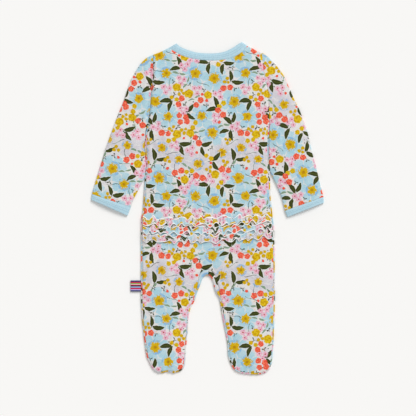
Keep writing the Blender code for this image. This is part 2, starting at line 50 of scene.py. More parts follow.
cloth = {
    "wall": 1.2, "bandWall": 1.3, "frillWall": 1.0,
    "seam": 0.3, "slit": 0.4,
    "touch": 0.03,                  # sewn edges nearly touch
    "roll": 1.6, "edgeTop": 3.2, "crown": 2.2,
    "turn": 0.6, "turnShares": (0.34, 0.67, 1.0),   # the front's cloth that shows, and its steps
    # how soon each kind of relief grows to its full height, in from the outline
    "crownRun": 15.0, "foldRun": 8.0, "creaseRun": 4.0, "rippleRun": 6.0,
}
roll = cloth["roll"]
seam = cloth["seam"]
slit = cloth["slit"]
touch = cloth["touch"]

# rows and columns of the shown panels and of the hidden ones
fine = {"shoulder": 17, "side": 50, "crotch": 24, "yoke": 64, "slit": 48, "trunk": 84, "leg": 66,
        "foot": 24, "sleeveAcross": 38, "sleeve": 116, "cuff": 26, "band": 92, "roll": 9}
plain = {"shoulder": 8, "side": 24, "crotch": 12, "yoke": 30, "slit": 40, "trunk": 70, "leg": 56,
         "foot": 20, "sleeve": 60, "cuff": 12, "band": 46, "roll": 9}

# outlines in portions: the count of its steps, then x, y and, where it isn't the usual one,
# the width of the front's cloth that shows
outline = {
    "slitLeft": ("slit", (
        (-97.8, 138.5), (-100.9, 125.5), (-101.5, 114.1), (-102.2, 99.4),
        (-100.2, 81.5), (-99.6, 71.7), (-101.1, 61.9), (-102.2, 52.2))),
    "trunkLeft": ("trunk", (
        (-102.2, 52.2), (-102.7, 40.8), (-104.3, 16.3), (-105.8, -3.3),
        (-108.1, -14.7), (-108.4, -48.9), (-108.4, -101.1))),
    "legLeft": ("leg", (
        (-108.4, -101.1), (-108.4, -146.7), (-106.8, -176), (-105.1, -192.3),
        (-103.8, -206.2), (-101.9, -220))),
    "footSideLeft": ("foot", (
        (-101.9, -220), (-99.4, -237.3), (-95.7, -246.8), (-91.6, -254.9),
        (-87.5, -260.8))),
    "toeLeft": ("side", (
        (-87.5, -260.8), (-82, -264.7), (-76.3, -266), (-70.1, -264.7),
        (-66.3, -263.7), (-60.1, -265.2), (-54.6, -266), (-49.4, -264.4),
        (-42.9, -261.8), (-39, -258.4))),
    "footInnerLeft": ("foot", (
        (-39, -258.4), (-36.7, -249.9), (-35.7, -237.3), (-34.4, -220))),
    "innerLeft": ("leg", (
        (-34.4, -220), (-32.6, -200), (-31.8, -187.4), (-30.8, -174.4),
        (-27.5, -159.7), (-21.5, -149.3), (-17.8, -137.4), (-15, -129.9, 0.8),
        (-12.1, -122.6, 2.4), (-8.5, -112.5, 5))),
    "crotch": ("crotch", (
        (-8.5, -112.5, 5), (-5.4, -107.9, 6.4), (-0.8, -106.4, 7.2),
        (4.1, -108.1, 6.4), (8.3, -115.1, 5))),
    "innerRight": ("leg", (
        (8.3, -115.1, 5), (10.8, -124.9, 5.2), (13.5, -134, 4.4),
        (18.4, -142.6, 1), (21, -153.2), (22.8, -164.6), (24.4, -174.4),
        (26.9, -187.4), (30.2, -203.8), (32.6, -220))),
    "footInnerRight": ("foot", (
        (32.6, -220), (33.7, -237.5), (37.5, -249.9), (43.8, -260.5))),
    "toeRight": ("side", (
        (43.8, -260.5), (53.5, -265.7), (66, -267.6), (82.5, -268.1),
        (93.4, -265.7), (99.6, -261.5))),
    "footSideRight": ("foot", (
        (99.6, -261.5), (103.2, -254.9), (105.5, -243.7), (107.4, -220))),
    "legRight": ("leg", (
        (107.4, -220), (108.4, -195.6), (109.4, -176), (109.9, -146.7),
        (109.7, -101.1))),
    "trunkRight": ("trunk", (
        (109.7, -101.1), (109.4, -65.2), (108.7, -35.9), (107.4, -19.6),
        (105.1, 0), (103.2, 16.3), (102.2, 40.8), (102.2, 61.9))),
    "slitRight": ("slit", (
        (102.2, 61.9), (101.2, 68.5), (99.8, 84.8), (99.8, 110.8),
        (100.7, 138.5))),
}
shoulderLine = {
    "left": {
        "fold": (2, ((-50.5, 271.6), (-63.9, 264.1))),
        "shoulder": ("shoulder", ((-63.9, 264.1), (-77.4, 257.5), (-89.2, 253))),
        "cap": ("yoke", (
            (-89.2, 253), (-97, 249.4), (-103.5, 244.5), (-110, 237.2),
            (-116.5, 226.6), (-123.1, 215.2), (-129.6, 198.9), (-136.1, 179.3),
            (-142.6, 163), (-149.1, 146.7))),
        "sleeve": ("sleeve", (
            (-149.1, 146.7), (-155.7, 128.8), (-162.2, 110.8), (-168.7, 91.3),
            (-175.2, 70.1), (-181.7, 48.9), (-188.3, 25.8))),
        "cuff": ("cuff", ((-188.3, 25.8), (-189.7, 16.5))),
    },
    "right": {
        "fold": (2, ((55.9, 274), (64.7, 267.8))),
        "shoulder": ("shoulder", (
            (64.7, 267.8), (72.5, 264.1), (79.1, 260), (85.6, 257.5), (89.3, 256.1))),
        "cap": ("yoke", (
            (89.3, 256.1), (98.6, 249.7), (105.1, 242.9), (111.7, 236.3),
            (118.2, 228.2), (124.7, 218.4), (131.2, 203.8), (137.7, 189.1),
            (144.3, 174.4), (150.8, 161.4), (157.3, 143.4))),
        "sleeve": ("sleeve", (
            (157.3, 143.4), (163.8, 123.9), (170, 96.2), (176.4, 73.3),
            (182.9, 45.6), (189.2, 21.2))),
        "cuff": ("cuff", ((189.2, 21.2), (189.7, 11.4))),
    },
}
underArm = {
    "left": {
        "slit": ("slit", outline["slitLeft"][1]),
        "free": ("rest", (
            (-102.2, 52.2), (-107.6, 42.4), (-112.3, 32.6), (-120.6, 16.3), (-124.9, 4.4))),
        "cuff": ("cuff", ((-124.9, 4.4), (-129.9, -9.1))),
    },
    "right": {
        "slit": ("slit", tuple(reversed(outline["slitRight"][1]))),
        "free": ("rest", ((102.2, 61.9), (112.1, 40.8), (120.8, 19.6), (125.7, -1.3))),
        "cuff": ("cuff", ((125.7, -1.3), (129.9, -11.4))),
    },
}
armhole = {
    "left": (
        (-89.2, 253), (-88.5, 234.7), (-88.8, 216.8), (-90.8, 202.1),
        (-92.1, 190.7), (-93.7, 167.9), (-95.4, 153.2), (-97.8, 138.5)),
    "right": (
        (89.3, 256.1), (89.6, 247.8), (90.5, 234.7), (93.7, 215.2),
        (98.5, 195.6), (99.6, 179.3), (100.1, 161.4), (100.7, 138.5)),
}
neckLines = {
    "edge": (
        (-50.5, 271.6), (-41.6, 264.7), (-24.3, 258.4), (-10.6, 255.9), (10.1, 255.3),
        (26.9, 257.9), (41.6, 264.7), (50.7, 271.2), (55.9, 274)),
    "seam": (
        (-63.9, 264.1), (-56.2, 260.1), (-46, 253.8), (-32.3, 248.6), (-18.7, 245.8),
        (-5.7, 244.3), (10.1, 243.5), (32.9, 246.3), (47.8, 252), (55.9, 257.9),
        (64.7, 267.8)),
    "frontEdge": (
        (-50.5, 271.6), (-47.3, 257.5), (-38.3, 244.5), (-22, 233.9), (1.6, 230.6),
        (22, 233.9), (40.8, 244.5), (51.3, 259.2), (55.9, 274)),
    "frontSeam": (
        (-63.9, 264.1), (-59.5, 249.4), (-48.1, 233.9), (-28.5, 223.3), (1.6, 219.2),
        (28.5, 223.3), (49.7, 236.3), (60.3, 251.8), (64.7, 267.8)),
}
centreX = 0.6
chestY = 138.5

# soft folds: x and y of both ends, half width, rise
folds = (
    (-104, 120, -128, 152, 7, -0.7),
    (-110, 100, -142, 130, 8, 0.6),
    (-116, 78, -150, 92, 7, -0.6),
    (-126, 54, -162, 66, 8, 0.5),
    (-140, 28, -166, 44, 7, -0.4),
    (108, 132, 130, 160, 8, -0.6),
    (112, 106, 146, 124, 7, 0.7),
    (110, 84, 150, 92, 7, -0.6),
    (128, 50, 166, 60, 9, 0.5),
    (-62, 150, -50, 30, 13, 0.5),
    (34, 190, 52, 50, 12, -0.5),
    (-6, 200, 4, 90, 14, 0.4),
    (-74, -70, -62, -160, 10, 0.5),
    (62, -66, 70, -165, 10, -0.5),
    (-14, -92, -62, -74, 7, -0.5),
    (16, -94, 58, -70, 8, -0.5),
    (-84, -176, -54, -214, 9, 0.5),
    (56, -172, 88, -220, 9, 0.6),
    (-78, -236, -52, -240, 10, -0.5),
    (58, -242, 86, -236, 10, -0.5),
)
# main creases, the same columns; all are gentle
creases = (
    (-92.6, 240, -94.6, 200, 3.4, -2.4),    # beside the left armhole
    (-95.2, 200, -98.6, 154, 3.4, -2.1),
    (-99.5, 230, -102, 184, 3.4, 0.9),
    (-84.4, 240, -86.2, 198, 3.2, 2),
    (-86.2, 198, -91.4, 150, 3.2, 1.9),
    (-93.6, 142, -94.4, 98, 3.4, 1.5),      # beside the left sleeve
    (-94.4, 98, -96, 60, 3.4, 1.2),
    (-106.6, 130, -108, 88, 4.2, -0.8),
    (-108, 88, -110, 58, 4.2, -0.7),
    (-103, 168, -108, 138, 3.4, -0.8),
    (-107, 150, -122, 118, 4.2, -0.6),
    (-112, 122, -120, 96, 3.6, 0.5),
    (-118, 66, -132, 40, 3.6, -0.6),
    (-128, 60, -150, 56, 4, 0.4),
    (-146, 118, -158, 96, 4.6, -0.5),
    (-160, 60, -170, 30, 4.6, -0.5),
    (96.5, 226, 103.5, 188, 3.6, -0.9),
    (104, 176, 106, 144, 3.4, -0.7),
    (110, 148, 126, 112, 4.4, -0.6),
    (118, 104, 132, 76, 4.2, 0.5),
    (150, 128, 158, 98, 4.6, -0.5),
    (124, 48, 140, 20, 3.8, -0.6),
    (158, 56, 172, 26, 4.4, 0.5),
    (-88, 150, -76, 128, 4.2, -0.6),        # below the armpits
    (-92, 138, -84, 108, 4, 0.5),
    (92, 148, 80, 122, 4.4, -0.6),
    (95, 132, 88, 96, 4, 0.4),
    (-60, 236, -44, 206, 5, -0.5),          # below the neck
    (-20, 232, -12, 200, 6, 0.4),
    (24, 232, 18, 196, 6, -0.4),
    (62, 240, 52, 208, 5, -0.5),
    (-96, 20, -70, 6, 5, -0.5),             # above the frills
    (-40, 14, -20, 4, 5, 0.4),
    (30, 10, 44, -2, 5, -0.4),
    (74, 14, 96, 22, 5, -0.5),
    (-90, -58, -64, -70, 4.4, 0.4),
    (-12, -104, -38, -122, 3.6, -0.7),      # from the crotch into the legs
    (-10, -98, -30, -92, 3.4, -0.6),
    (14, -106, 36, -124, 3.6, -0.7),
    (12, -98, 34, -96, 3.4, -0.5),
    (0, -100, -2, -78, 3.6, 0.5),
    (-40, -150, -30, -176, 3.6, -0.5),
    (-96, -150, -100, -190, 4, -0.5),
    (30, -150, 34, -186, 3.6, -0.5),
    (98, -140, 102, -186, 4.2, -0.5),
    (-90, -214, -70, -226, 4.4, -0.6),      # over the heels
    (-60, -222, -40, -214, 4, -0.5),
    (40, -212, 58, -224, 4.4, -0.5),
    (78, -224, 98, -212, 4.4, -0.5),
    (-84, -246, -78, -258, 2.6, -0.8),      # gathers at the toes
    (-74, -244, -71, -260, 2.4, 0.6),
    (-66, -246, -66, -262, 2.6, -1),
    (-58, -245, -59, -260, 2.4, 0.6),
    (-50, -243, -48, -260, 2.6, -0.8),
    (48, -244, 50, -260, 2.8, -0.6),
    (60, -247, 60, -264, 2.6, -0.7),
    (72, -248, 72, -264, 3, 0.5),
    (84, -248, 85, -264, 2.8, -0.7),
    (94, -244, 97, -258, 2.6, -0.6),
)


def spline(points, steps=10):
    # smooth line through the points, and where each point is on it
    rows = [np.array((p[0], p[1], p[2] if len(p) > 2 else cloth["turn"])) for p in points]
    rows = [2 * rows[0] - rows[1]] + rows + [2 * rows[-1] - rows[-2]]
    line, marks = [], []
    for a, b, c, d in zip(rows, rows[1:], rows[2:], rows[3:]):
        marks.append(len(line))
        for k in range(steps):
            t = k / steps
            line.append(0.5 * (2 * b + (c - a) * t + (2 * a - 5 * b + 4 * c - d) * t ** 2
                               + (3 * b - a - 3 * c + d) * t ** 3))
    marks.append(len(line))
    line.append(rows[-2])
    return np.array(line), marks


def runOf(line):
    # how far along the line each of its points is
    return np.concatenate(([0.0], np.cumsum(np.hypot(*(line[1:, :2] - line[:-1, :2]).T))))


def resample(line, count):
    line = np.asarray(line, float)
    run = runOf(line)
    at = np.linspace(0.0, run[-1], count + 1)
    return np.stack([np.interp(at, run, line[:, k]) for k in range(line.shape[1])], axis=1)


def curve(points, count):
    return resample(spline(points)[0][:, :2], count)


def sideways(line):
    # directions to the right of a line
    ahead = np.gradient(line, axis=0)
    ahead /= np.linalg.norm(ahead, axis=1)[:, None]
    return np.stack([ahead[:, 1], -ahead[:, 0]], axis=1)


def beside(line, out):
    return line + sideways(line) * out


def rim(portions, counts, outward):
    # sampled outline in named portions: x, y, outward x, outward y, turn
    tables = [(name, counts.get(count, count), table) for name, (count, table) in portions.items()]
    points = [p for _, _, table in tables for p in table[:-1]] + [tables[-1][2][-1]]
    line, marks = spline(points)
    samples, spans, start = [], {}, 0
    for name, count, table in tables:
        end = start + len(table) - 1
        part = resample(line[marks[start]:marks[end] + 1], count)
        spans[name] = (len(samples), len(samples) + count)
        samples.extend(part[:-1])
        start = end
    samples.append(line[-1])
    samples = np.array(samples)
    normal = outward * sideways(samples[:, :2])
    whole = np.concatenate([samples[:, :2], normal, samples[:, 2:]], axis=1)
    return {name: whole[a:b + 1] for name, (a, b) in spans.items()}


def inset(edge, depth):
    return edge[:, :2] - edge[:, 2:4] * np.asarray(depth).reshape(-1, 1)


def straight(a, b, count):
    a, b = np.asarray(a, float), np.asarray(b, float)
    return a + (b - a) * np.linspace(0.0, 1.0, count + 1)[:, None]


def patch(high, low, left, right):
    # plan points filled in between four edges
    high, low, left, right = (np.asarray(e, float) for e in (high, low, left, right))
    u = np.linspace(0.0, 1.0, len(high))[None, :, None]
    v = np.linspace(0.0, 1.0, len(left))[:, None, None]
    ruled = (1 - v) * high[None] + v * low[None] + (1 - u) * left[:, None] + u * right[:, None]
    corners = ((1 - u) * (1 - v) * high[0] + u * (1 - v) * high[-1]
               + (1 - u) * v * low[0] + u * v * low[-1])
    return ruled - corners


def relaxed(plan, rounds=60):
    # evens out the inner points of a grid, so that none lie across each other
    for k in range(rounds):
        plan[1:-1, 1:-1] = (plan[:-2, 1:-1] + plan[2:, 1:-1] + plan[1:-1, :-2] + plan[1:-1, 2:]) / 4
    return plan


def shifted(points, dx=0.0, dy=0.0):
    return np.asarray(points, float) + np.array((dx, dy))


def towards(a, b, step):
    return a + (b - a) * step / np.linalg.norm(b - a)


def edgesFor(counts):
    # every outline sampled with these counts
    counts = dict(counts, rest=counts["sleeve"] - counts["slit"])
    return {
        "counts": counts,
        "lower": rim(outline, counts, 1.0),
        "upper": {side: rim(shoulderLine[side], counts, -sign) for side, sign in away.items()},
        "under": {side: rim(underArm[side], counts, sign) for side, sign in away.items()},
    }


rough = edgesFor({"shoulder": 4, "side": 16, "crotch": 8, "yoke": 20, "slit": 12, "trunk": 18,
                  "leg": 16, "foot": 6, "sleeve": 34, "cuff": 6})
fineEdges = edgesFor(fine)
plainEdges = edgesFor(plain)


def segments(lines):
    a = np.concatenate([line[:-1, :2] for line in lines])
    b = np.concatenate([line[1:, :2] for line in lines])
    start = np.concatenate([runOf(line)[:-1] for line in lines])
    return a, b, start


def nearest(points, a, b):
    # distance from each point to each segment, as a table
    along = b - a
    reach = np.maximum((along ** 2).sum(axis=1), 1e-9)
    out = points[:, None, :] - a[None]
    t = np.clip((out * along[None]).sum(axis=2) / reach[None], 0.0, 1.0)
    return np.sqrt(((out - t[..., None] * along[None]) ** 2).sum(axis=2)), t


silhouette = [rough["lower"][name] for name in outline] + [curve(neckLines["edge"], 24)]
for side in sides:
    silhouette += [rough["upper"][side][k] for k in shoulderLine[side]]
    silhouette += [rough["under"][side][k] for k in underArm[side]]
silhouetteA, silhouetteB = segments(silhouette)[:2]


def joinLine(*names):
    # where the back meets the cloth that turns up from the front
    edge = np.concatenate([rough["lower"][name] for name in names])
    return inset(edge, roll + edge[:, 4])


# seams that pull the cloth in: line, depth, width of the dip, pucker rise, pucker length, reach
seams = (
    (curve(armhole["left"], 40), 0.9, 2.0, 0.34, 7.6, 5.0),
    (curve(armhole["right"], 40), 0.8, 2.0, 0.30, 8.3, 5.0),
    (curve(neckLines["seam"], 50), 0.5, 1.6, 0.34, 6.8, 4.6),
    (rough["lower"]["toeLeft"][:, :2], 0.0, 2.0, 0.7, 8.6, 5.0),
    (rough["lower"]["toeRight"][:, :2], 0.0, 2.0, 0.5, 9.8, 5.0),
    (joinLine("slitLeft", "trunkLeft", "legLeft", "footSideLeft", "toeLeft"),
     0.32, 0.8, 0.10, 5.2, 3.4),
    (joinLine("footInnerLeft", "innerLeft", "crotch", "innerRight", "footInnerRight"),
     0.75, 1.0, 0.16, 4.6, 3.8),
    (joinLine("toeRight", "footSideRight", "legRight", "trunkRight", "slitRight"),
     0.32, 0.8, 0.10, 5.4, 3.4),
)
pucker = {"drift": 1.3, "driftRun": 17.0, "uneven": 0.4, "unevenRun": 23.0, "start": 1.5}
# unevenness all over: rise, what x and y are divided by in one wave, its shift, and in the other wave
ripples = (
    (0.16, 9.1, 23.0, 0.7, -31.0, 13.7),
    (0.10, 5.3, -8.9, 0.0, 17.0, 6.1),
)


def creaseTop(points, table):
    a = np.array([f[0:2] for f in table])
    b = np.array([f[2:4] for f in table])
    width = np.array([f[4] for f in table])
    rise = np.array([f[5] for f in table])
    far = nearest(points, a, b)[0]
    return (rise * np.exp(-(far / width) ** 2)).sum(axis=1)


def seamTop(points):
    z = np.zeros(len(points))
    rows = np.arange(len(points))
    for line, depth, width, rise, length, reach in seams:
        a, b, start = segments([line])
        far, t = nearest(points, a, b)
        which = far.argmin(axis=1)
        near = far[rows, which]
        along = start[which] + t[rows, which] * np.linalg.norm(b - a, axis=1)[which]
        wave = np.sin(2 * np.pi * along / length + pucker["drift"] * np.sin(along / pucker["driftRun"]))
        swell = 1.0 + pucker["uneven"] * (np.sin(along / pucker["unevenRun"]) - 1.0)
        swell *= np.exp(-near / reach) * np.minimum(near / pucker["start"], 1.0)
        z += rise * swell * wave - depth * np.exp(-(near / width) ** 2)
    return z


def topOf(points):
    # height of the upper side of the upper layer
    points = np.asarray(points, float).reshape(-1, 2)
    out = []
    for chunk in np.array_split(points, max(1, len(points) // 4000)):
        far = nearest(chunk, silhouetteA, silhouetteB)[0]
        inside = np.maximum(far.min(axis=1) - roll, 0.0)
        z = cloth["edgeTop"] + cloth["crown"] * (1.0 - np.exp(-inside / cloth["crownRun"]))
        z += creaseTop(chunk, folds) * (1.0 - np.exp(-inside / cloth["foldRun"]))
        z += creaseTop(chunk, creases) * (1.0 - np.exp(-inside / cloth["creaseRun"]))
        x, y = chunk.T
        for rise, x1, y1, shift, x2, y2 in ripples:
            ripple = rise * np.sin(x / x1 + y / y1 + shift) * np.sin(x / x2 + y / y2)
            z += ripple * (1.0 - np.exp(-inside / cloth["rippleRun"]))
        out.append(z + seamTop(chunk))
    return np.concatenate(out)


def placed(name, data):
    made = bpy.data.objects.new(name, data)
    bpy.context.scene.collection.objects.link(made)
    return made


def sewnOn(name, mesh, materials):
    # an object that belongs to the garment
    mesh.shade_smooth()
    for material in materials:
        mesh.materials.append(material)
    made = placed(name, mesh)
    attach(made, "root")
    return made


class Grids:
    # faces gathered from grids of points, welded where points agree; every point has
    # its place on the cut cloth and how far across its piece it lies

    def __init__(self):
        self.points, self.cuts, self.shares, self.faces, self.count = [], [], [], [], 0

    def add(self, points, cuts, closed=False, across=None):
        points, cuts = np.asarray(points, float), np.asarray(cuts, float)
        rows, cols = points.shape[:2]
        ids = np.arange(rows * cols).reshape(rows, cols) + self.count
        if closed:
            ids = np.concatenate([ids, ids[:, :1]], axis=1)
        quads = np.stack([ids[:-1, :-1], ids[:-1, 1:], ids[1:, 1:], ids[1:, :-1]], axis=-1)
        self.faces.append(quads.reshape(-1, 4))
        self.points.append(points.reshape(-1, 3))
        self.cuts.append(cuts.reshape(-1, 2))
        self.shares.append(np.zeros(rows * cols) if across is None else np.asarray(across).reshape(-1))
        self.count += rows * cols

    def mesh(self, name):
        points = np.concatenate(self.points)
        cuts = np.concatenate(self.cuts)
        shares = np.concatenate(self.shares)
        first, back = np.unique(np.round(points * 200).astype(np.int64), axis=0,
                                return_index=True, return_inverse=True)[1:]
        back = back.reshape(-1)
        polygons, corners = [], []
        for face in np.concatenate(self.faces):
            ids, kept = [], []
            for corner in face:
                v = int(back[corner])
                if v not in ids:
                    ids.append(v)
                    kept.append(corner)
            if len(ids) > 2:
                polygons.append(ids)
                corners.extend(kept)
        where = points[first].copy()
        where[:, :2] -= middle
        made = bpy.data.meshes.new(name)
        made.from_pydata((where * mm).tolist(), [], polygons)
        layer = made.uv_layers.new(name="cut")
        layer.data.foreach_set("uv", (cuts[corners] * mm).astype(np.float32).reshape(-1))
        share = made.attributes.new("across", "FLOAT", "POINT")
        share.data.foreach_set("value", shares[first].astype(np.float32))
        return made


def piece(name, grids, materials, wall, bottom=roll):
    # one sewn piece: its outer side, with a wall to the inside
    made = grids.mesh(name)
    bm = bmesh.new()
    bm.from_mesh(made)
    bmesh.ops.recalc_face_normals(bm, faces=bm.faces)
    facing = sum(f.normal.z * (f.calc_center_median().z - bottom * mm) * f.calc_area() for f in bm.faces)
    if facing < 0:
        bmesh.ops.reverse_faces(bm, faces=bm.faces)
    bm.to_mesh(made)
    bm.free()
    obj = sewnOn(name, made, materials)
    shell = obj.modifiers.new("Wall", "SOLIDIFY")
    shell.thickness = wall * mm
    shell.offset = -1.0
    shell.use_quality_normals = True
    shell.material_offset = len(materials) - 1
    shell.material_offset_rim = len(materials) - 1
    return obj


def jerseyPiece(name, grids, wall=cloth["wall"]):
    return piece(name, grids, (jersey, reverse), wall)


def raised(plan):
    plan = np.asarray(plan, float)
    return np.concatenate([plan, topOf(plan).reshape(plan.shape[:-1])[..., None]], axis=-1)


def floored(plan, z=0.0):
    plan = np.asarray(plan, float)
    return np.concatenate([plan, np.full(plan.shape[:-1] + (1,), z)], axis=-1)


def rolled(edge, steps, flange=False):
    # the cloth's way from the floor up over the edge, and how far it has gone from the floor part
    centre = inset(edge, roll)
    normal = edge[:, 2:4]
    high = topOf(centre)
    points, gone = [], []
    for k in range(steps + 1):
        angle = math.pi * k / steps
        plan = centre + normal * roll * math.sin(angle)
        points.append(np.column_stack([plan, high * (1 - math.cos(angle)) / 2]))
        gone.append(centre + normal * math.pi * roll * k / steps)
    if flange:
        turn = edge[:, 4:5]
        for share in cloth["turnShares"]:
            plan = centre - normal * turn * share
            points.append(np.column_stack([plan, topOf(plan)]))
            gone.append(centre + normal * (math.pi * roll + turn * share))
    return np.stack(points, axis=1), np.stack(gone, axis=1)


def fromAbove(edge, gone):
    # the same places, unrolled from the upper side instead
    return 2 * inset(edge, roll)[:, None] + edge[:, None, 2:4] * math.pi * roll - gone


def cutFrom(shift, flip=1.0):
    # where the points of a plan lie on the printed cloth
    return lambda plan: np.asarray(plan) * (flip, 1.0) + shift


def tint(red, green, blue):
    # screen colour to the shader's linear one
    out = []
    for byte in (red, green, blue):
        share = byte / 255
        out.append(share / 12.92 if share <= 0.04045 else ((share + 0.055) / 1.055) ** 2.4)
    return (*out, 1.0)


class Wire:
    # a shader socket that can be reckoned with like a number

    def __init__(self, graph, socket):
        self.graph = graph
        self.socket = socket

    def maths(self, operation, *others):
        return self.graph.maths(operation, self, *others)

    def __add__(self, other):
        return self.maths("ADD", other)

    def __sub__(self, other):
        return self.maths("SUBTRACT", other)

    def __rsub__(self, other):
        return self.graph.maths("SUBTRACT", other, self)

    def __mul__(self, other):
        return self.maths("MULTIPLY", other)

    def __truediv__(self, other):
        return self.maths("DIVIDE", other)

    def __rtruediv__(self, other):
        return self.graph.maths("DIVIDE", other, self)

    def __pow__(self, other):
        return self.maths("POWER", other)

    def __abs__(self):
        return self.maths("ABSOLUTE")

    __radd__ = __add__
    __rmul__ = __mul__


class Graph:
    # nodes of one tree

    def __init__(self, tree):
        self.tree = tree

    def node(self, kind, settings=None, inputs=(), output=0):
        made = self.tree.nodes.new("ShaderNode" + kind)
        for key, value in (settings or {}).items():
            setattr(made, key, value)
        pairs = inputs.items() if isinstance(inputs, dict) else enumerate(inputs)
        for key, value in pairs:
            if isinstance(value, Wire):
                self.tree.links.new(value.socket, made.inputs[key])
            else:
                made.inputs[key].default_value = value
        return Wire(self, made.outputs[output])

    def maths(self, operation, *values):
        return self.node("Math", {"operation": operation}, values)

    def vector(self, operation, *inputs, output=0):
        return self.node("VectorMath", {"operation": operation}, inputs, output)

    def parts(self, vector):
        made = self.node("SeparateXYZ", None, (vector,))
        return [Wire(self, made.socket.node.outputs[k]) for k in range(3)]

    def grey(self, value):
        return self.node("CombineXYZ", None, (value, value, value))

    def colour(self, share, first, second):
        return self.node("Mix", {"data_type": "RGBA"}, {0: share, 6: first, 7: second}, 2)

    def step(self, value, low, high, start=0.0, end=1.0):
        # start below low, end above high, smooth between them
        return self.node("MapRange", {"interpolation_type": "SMOOTHSTEP"}, (value, low, high, start, end))

    def less(self, value, low, high):
        # 1 below low, 0 above high
        return self.step(value, low, high, 1.0, 0.0)

    def noise(self, place, scale, detail=2.0, output=0):
        inputs = {"Vector": place, "Scale": scale, "Detail": detail}
        return self.node("TexNoise", {"noise_dimensions": "2D"}, inputs, output)


printed = {
    "repeat": (129.0, 200.0), "seed": 485,
    "wash": {"slow": (0.085, 3.0), "ragged": (0.40, 2.0), "grain": (1.5, 2.0)},
    "wander": 1.6, "wanderScale": 0.21, "speckScale": 0.125, "mottle": (0.80, 0.38),
    # places tried for a group, and how far the motifs in it turn and stray, in degrees
    "tries": 70, "stray": 20.0, "leafTurns": (70.0, -12.0), "leafStray": 12.0,
    "ground": (224, 222, 219), "haze": (212, 209, 214), "bare": (238, 238, 234),
    "blue": (164, 205, 219), "bluePale": (182, 211, 220), "blueDeep": (112, 170, 218),
    "lilac": (203, 199, 206), "lilacPale": (213, 210, 214),
    "mustard": (214, 176, 0), "mustardPale": (224, 194, 30), "mustardDeep": (176, 126, 2),
    "coral": (234, 90, 66), "coralPale": (244, 140, 100), "coralDeep": (212, 62, 56),
    "pink": (234, 188, 202), "pinkDeep": (222, 146, 176), "heart": (178, 70, 46),
    "leaf": (56, 62, 16), "leafPale": (98, 106, 52), "twig": (70, 78, 44),
    "sage": (124, 150, 124), "sagePale": (166, 184, 164), "dark": (44, 50, 26),
    "peach": (232, 196, 172), "hem": (252, 251, 250), "reverse": (238, 236, 232),
}
blooms = {
    "lilac": {"petals": 5, "heart": 0.34, "points": 5},
    "blue": {"petals": 6, "heart": 0.37, "points": 5},
}
# what grows in one repeat: kind, groups, motifs in a group, how far apart, least and most size,
# and the share of its size that it keeps free
growth = (
    ("blue", 4, 2, 16.0, 17.5, 23.0, 0.70),
    ("lilac", 2, 2, 16.0, 17.0, 21.0, 0.64),
    ("rose", 7, 1, 0.0, 7.0, 8.0, 0.76),
    ("leaf", 13, 2, 10.4, 8.6, 10.4, 0.52),
    ("coral", 11, 2, 5.5, 4.9, 5.9, 0.66),
    ("pink", 13, 3, 5.4, 4.5, 5.3, 0.66),
    ("gold", 7, 2, 4.6, 3.8, 4.7, 0.70),
    ("berry", 8, 3, 3.9, 2.5, 3.1, 0.70),
    ("frond", 9, 2, 6.2, 5.0, 6.4, 0.40),
    ("spray", 16, 1, 0.0, 4.4, 5.8, 0.50),
    ("stem", 8, 1, 0.0, 10.5, 13.5, 0.22),
    ("bud", 8, 1, 0.0, 2.0, 2.6, 0.80),
)


def scatter():
    # where the motifs of one repeat lie: each group goes where there is most room
    width, height = printed["repeat"]
    dice = random.Random(printed["seed"])
    laid, crowd = {}, []

    def room(spot):
        x, y = spot
        gaps = [math.hypot((x - a + width / 2) % width - width / 2,
                           (y - b + height / 2) % height - height / 2) - kept
                for a, b, kept in crowd]
        return min(gaps, default=0.0)

    for kind, groups, members, spread, least, most, free in growth:
        rows = laid.setdefault(kind, [])
        for group in range(groups):
            spots = [(dice.uniform(0.0, width), dice.uniform(0.0, height))
                     for k in range(printed["tries"])]
            x, y = max(spots, key=room)
            heading = dice.uniform(0.0, 360.0)
            for k in range(members):
                size = dice.uniform(least, most)
                step, stray = 360.0 * k / members, printed["stray"]
                if kind == "leaf":
                    step, stray = printed["leafTurns"][k], printed["leafStray"]
                turn = heading + step + dice.uniform(-stray, stray)
                way = math.radians(turn)
                a = (x + spread * math.cos(way)) % width
                b = (y + spread * math.sin(way)) % height
                rows.append((a, b, turn % 360.0, size))
                crowd.append((a, b, size * free))
    return laid


def closest(graph, place, rows):
    # the nearest motif of a kind: how far in its sizes, and the place as that motif sees it
    width, height = printed["repeat"]
    best = spot = None
    for x, y, turn, size in rows:
        near = graph.vector("WRAP", place, (x + width / 2, y + height / 2, 1.0),
                            (x - width / 2, y - height / 2, -1.0))
        far = graph.vector("DISTANCE", near, (x, y, 0.0), output=1) / size
        here = graph.vector("MULTIPLY_ADD", near, (1 / size, 1 / size, 1.0),
                            (-x / size, -y / size, math.radians(turn)))
        if best is None:
            best, spot = far, here
        else:
            nearer = far.maths("LESS_THAN", best)
            spot = graph.node("Mix", {"data_type": "VECTOR"}, {0: nearer, 4: spot, 5: here}, 1)
            best = best.maths("MINIMUM", far)
    x, y, turn = graph.parts(spot)
    c, s = turn.maths("COSINE"), turn.maths("SINE")
    x, y = x * c + y * s, y * c - x * s
    return {"far": best, "x": x, "y": y, "angle": y.maths("ARCTAN2", x)}


def inks(*names):
    return [tint(*printed[name]) for name in names]


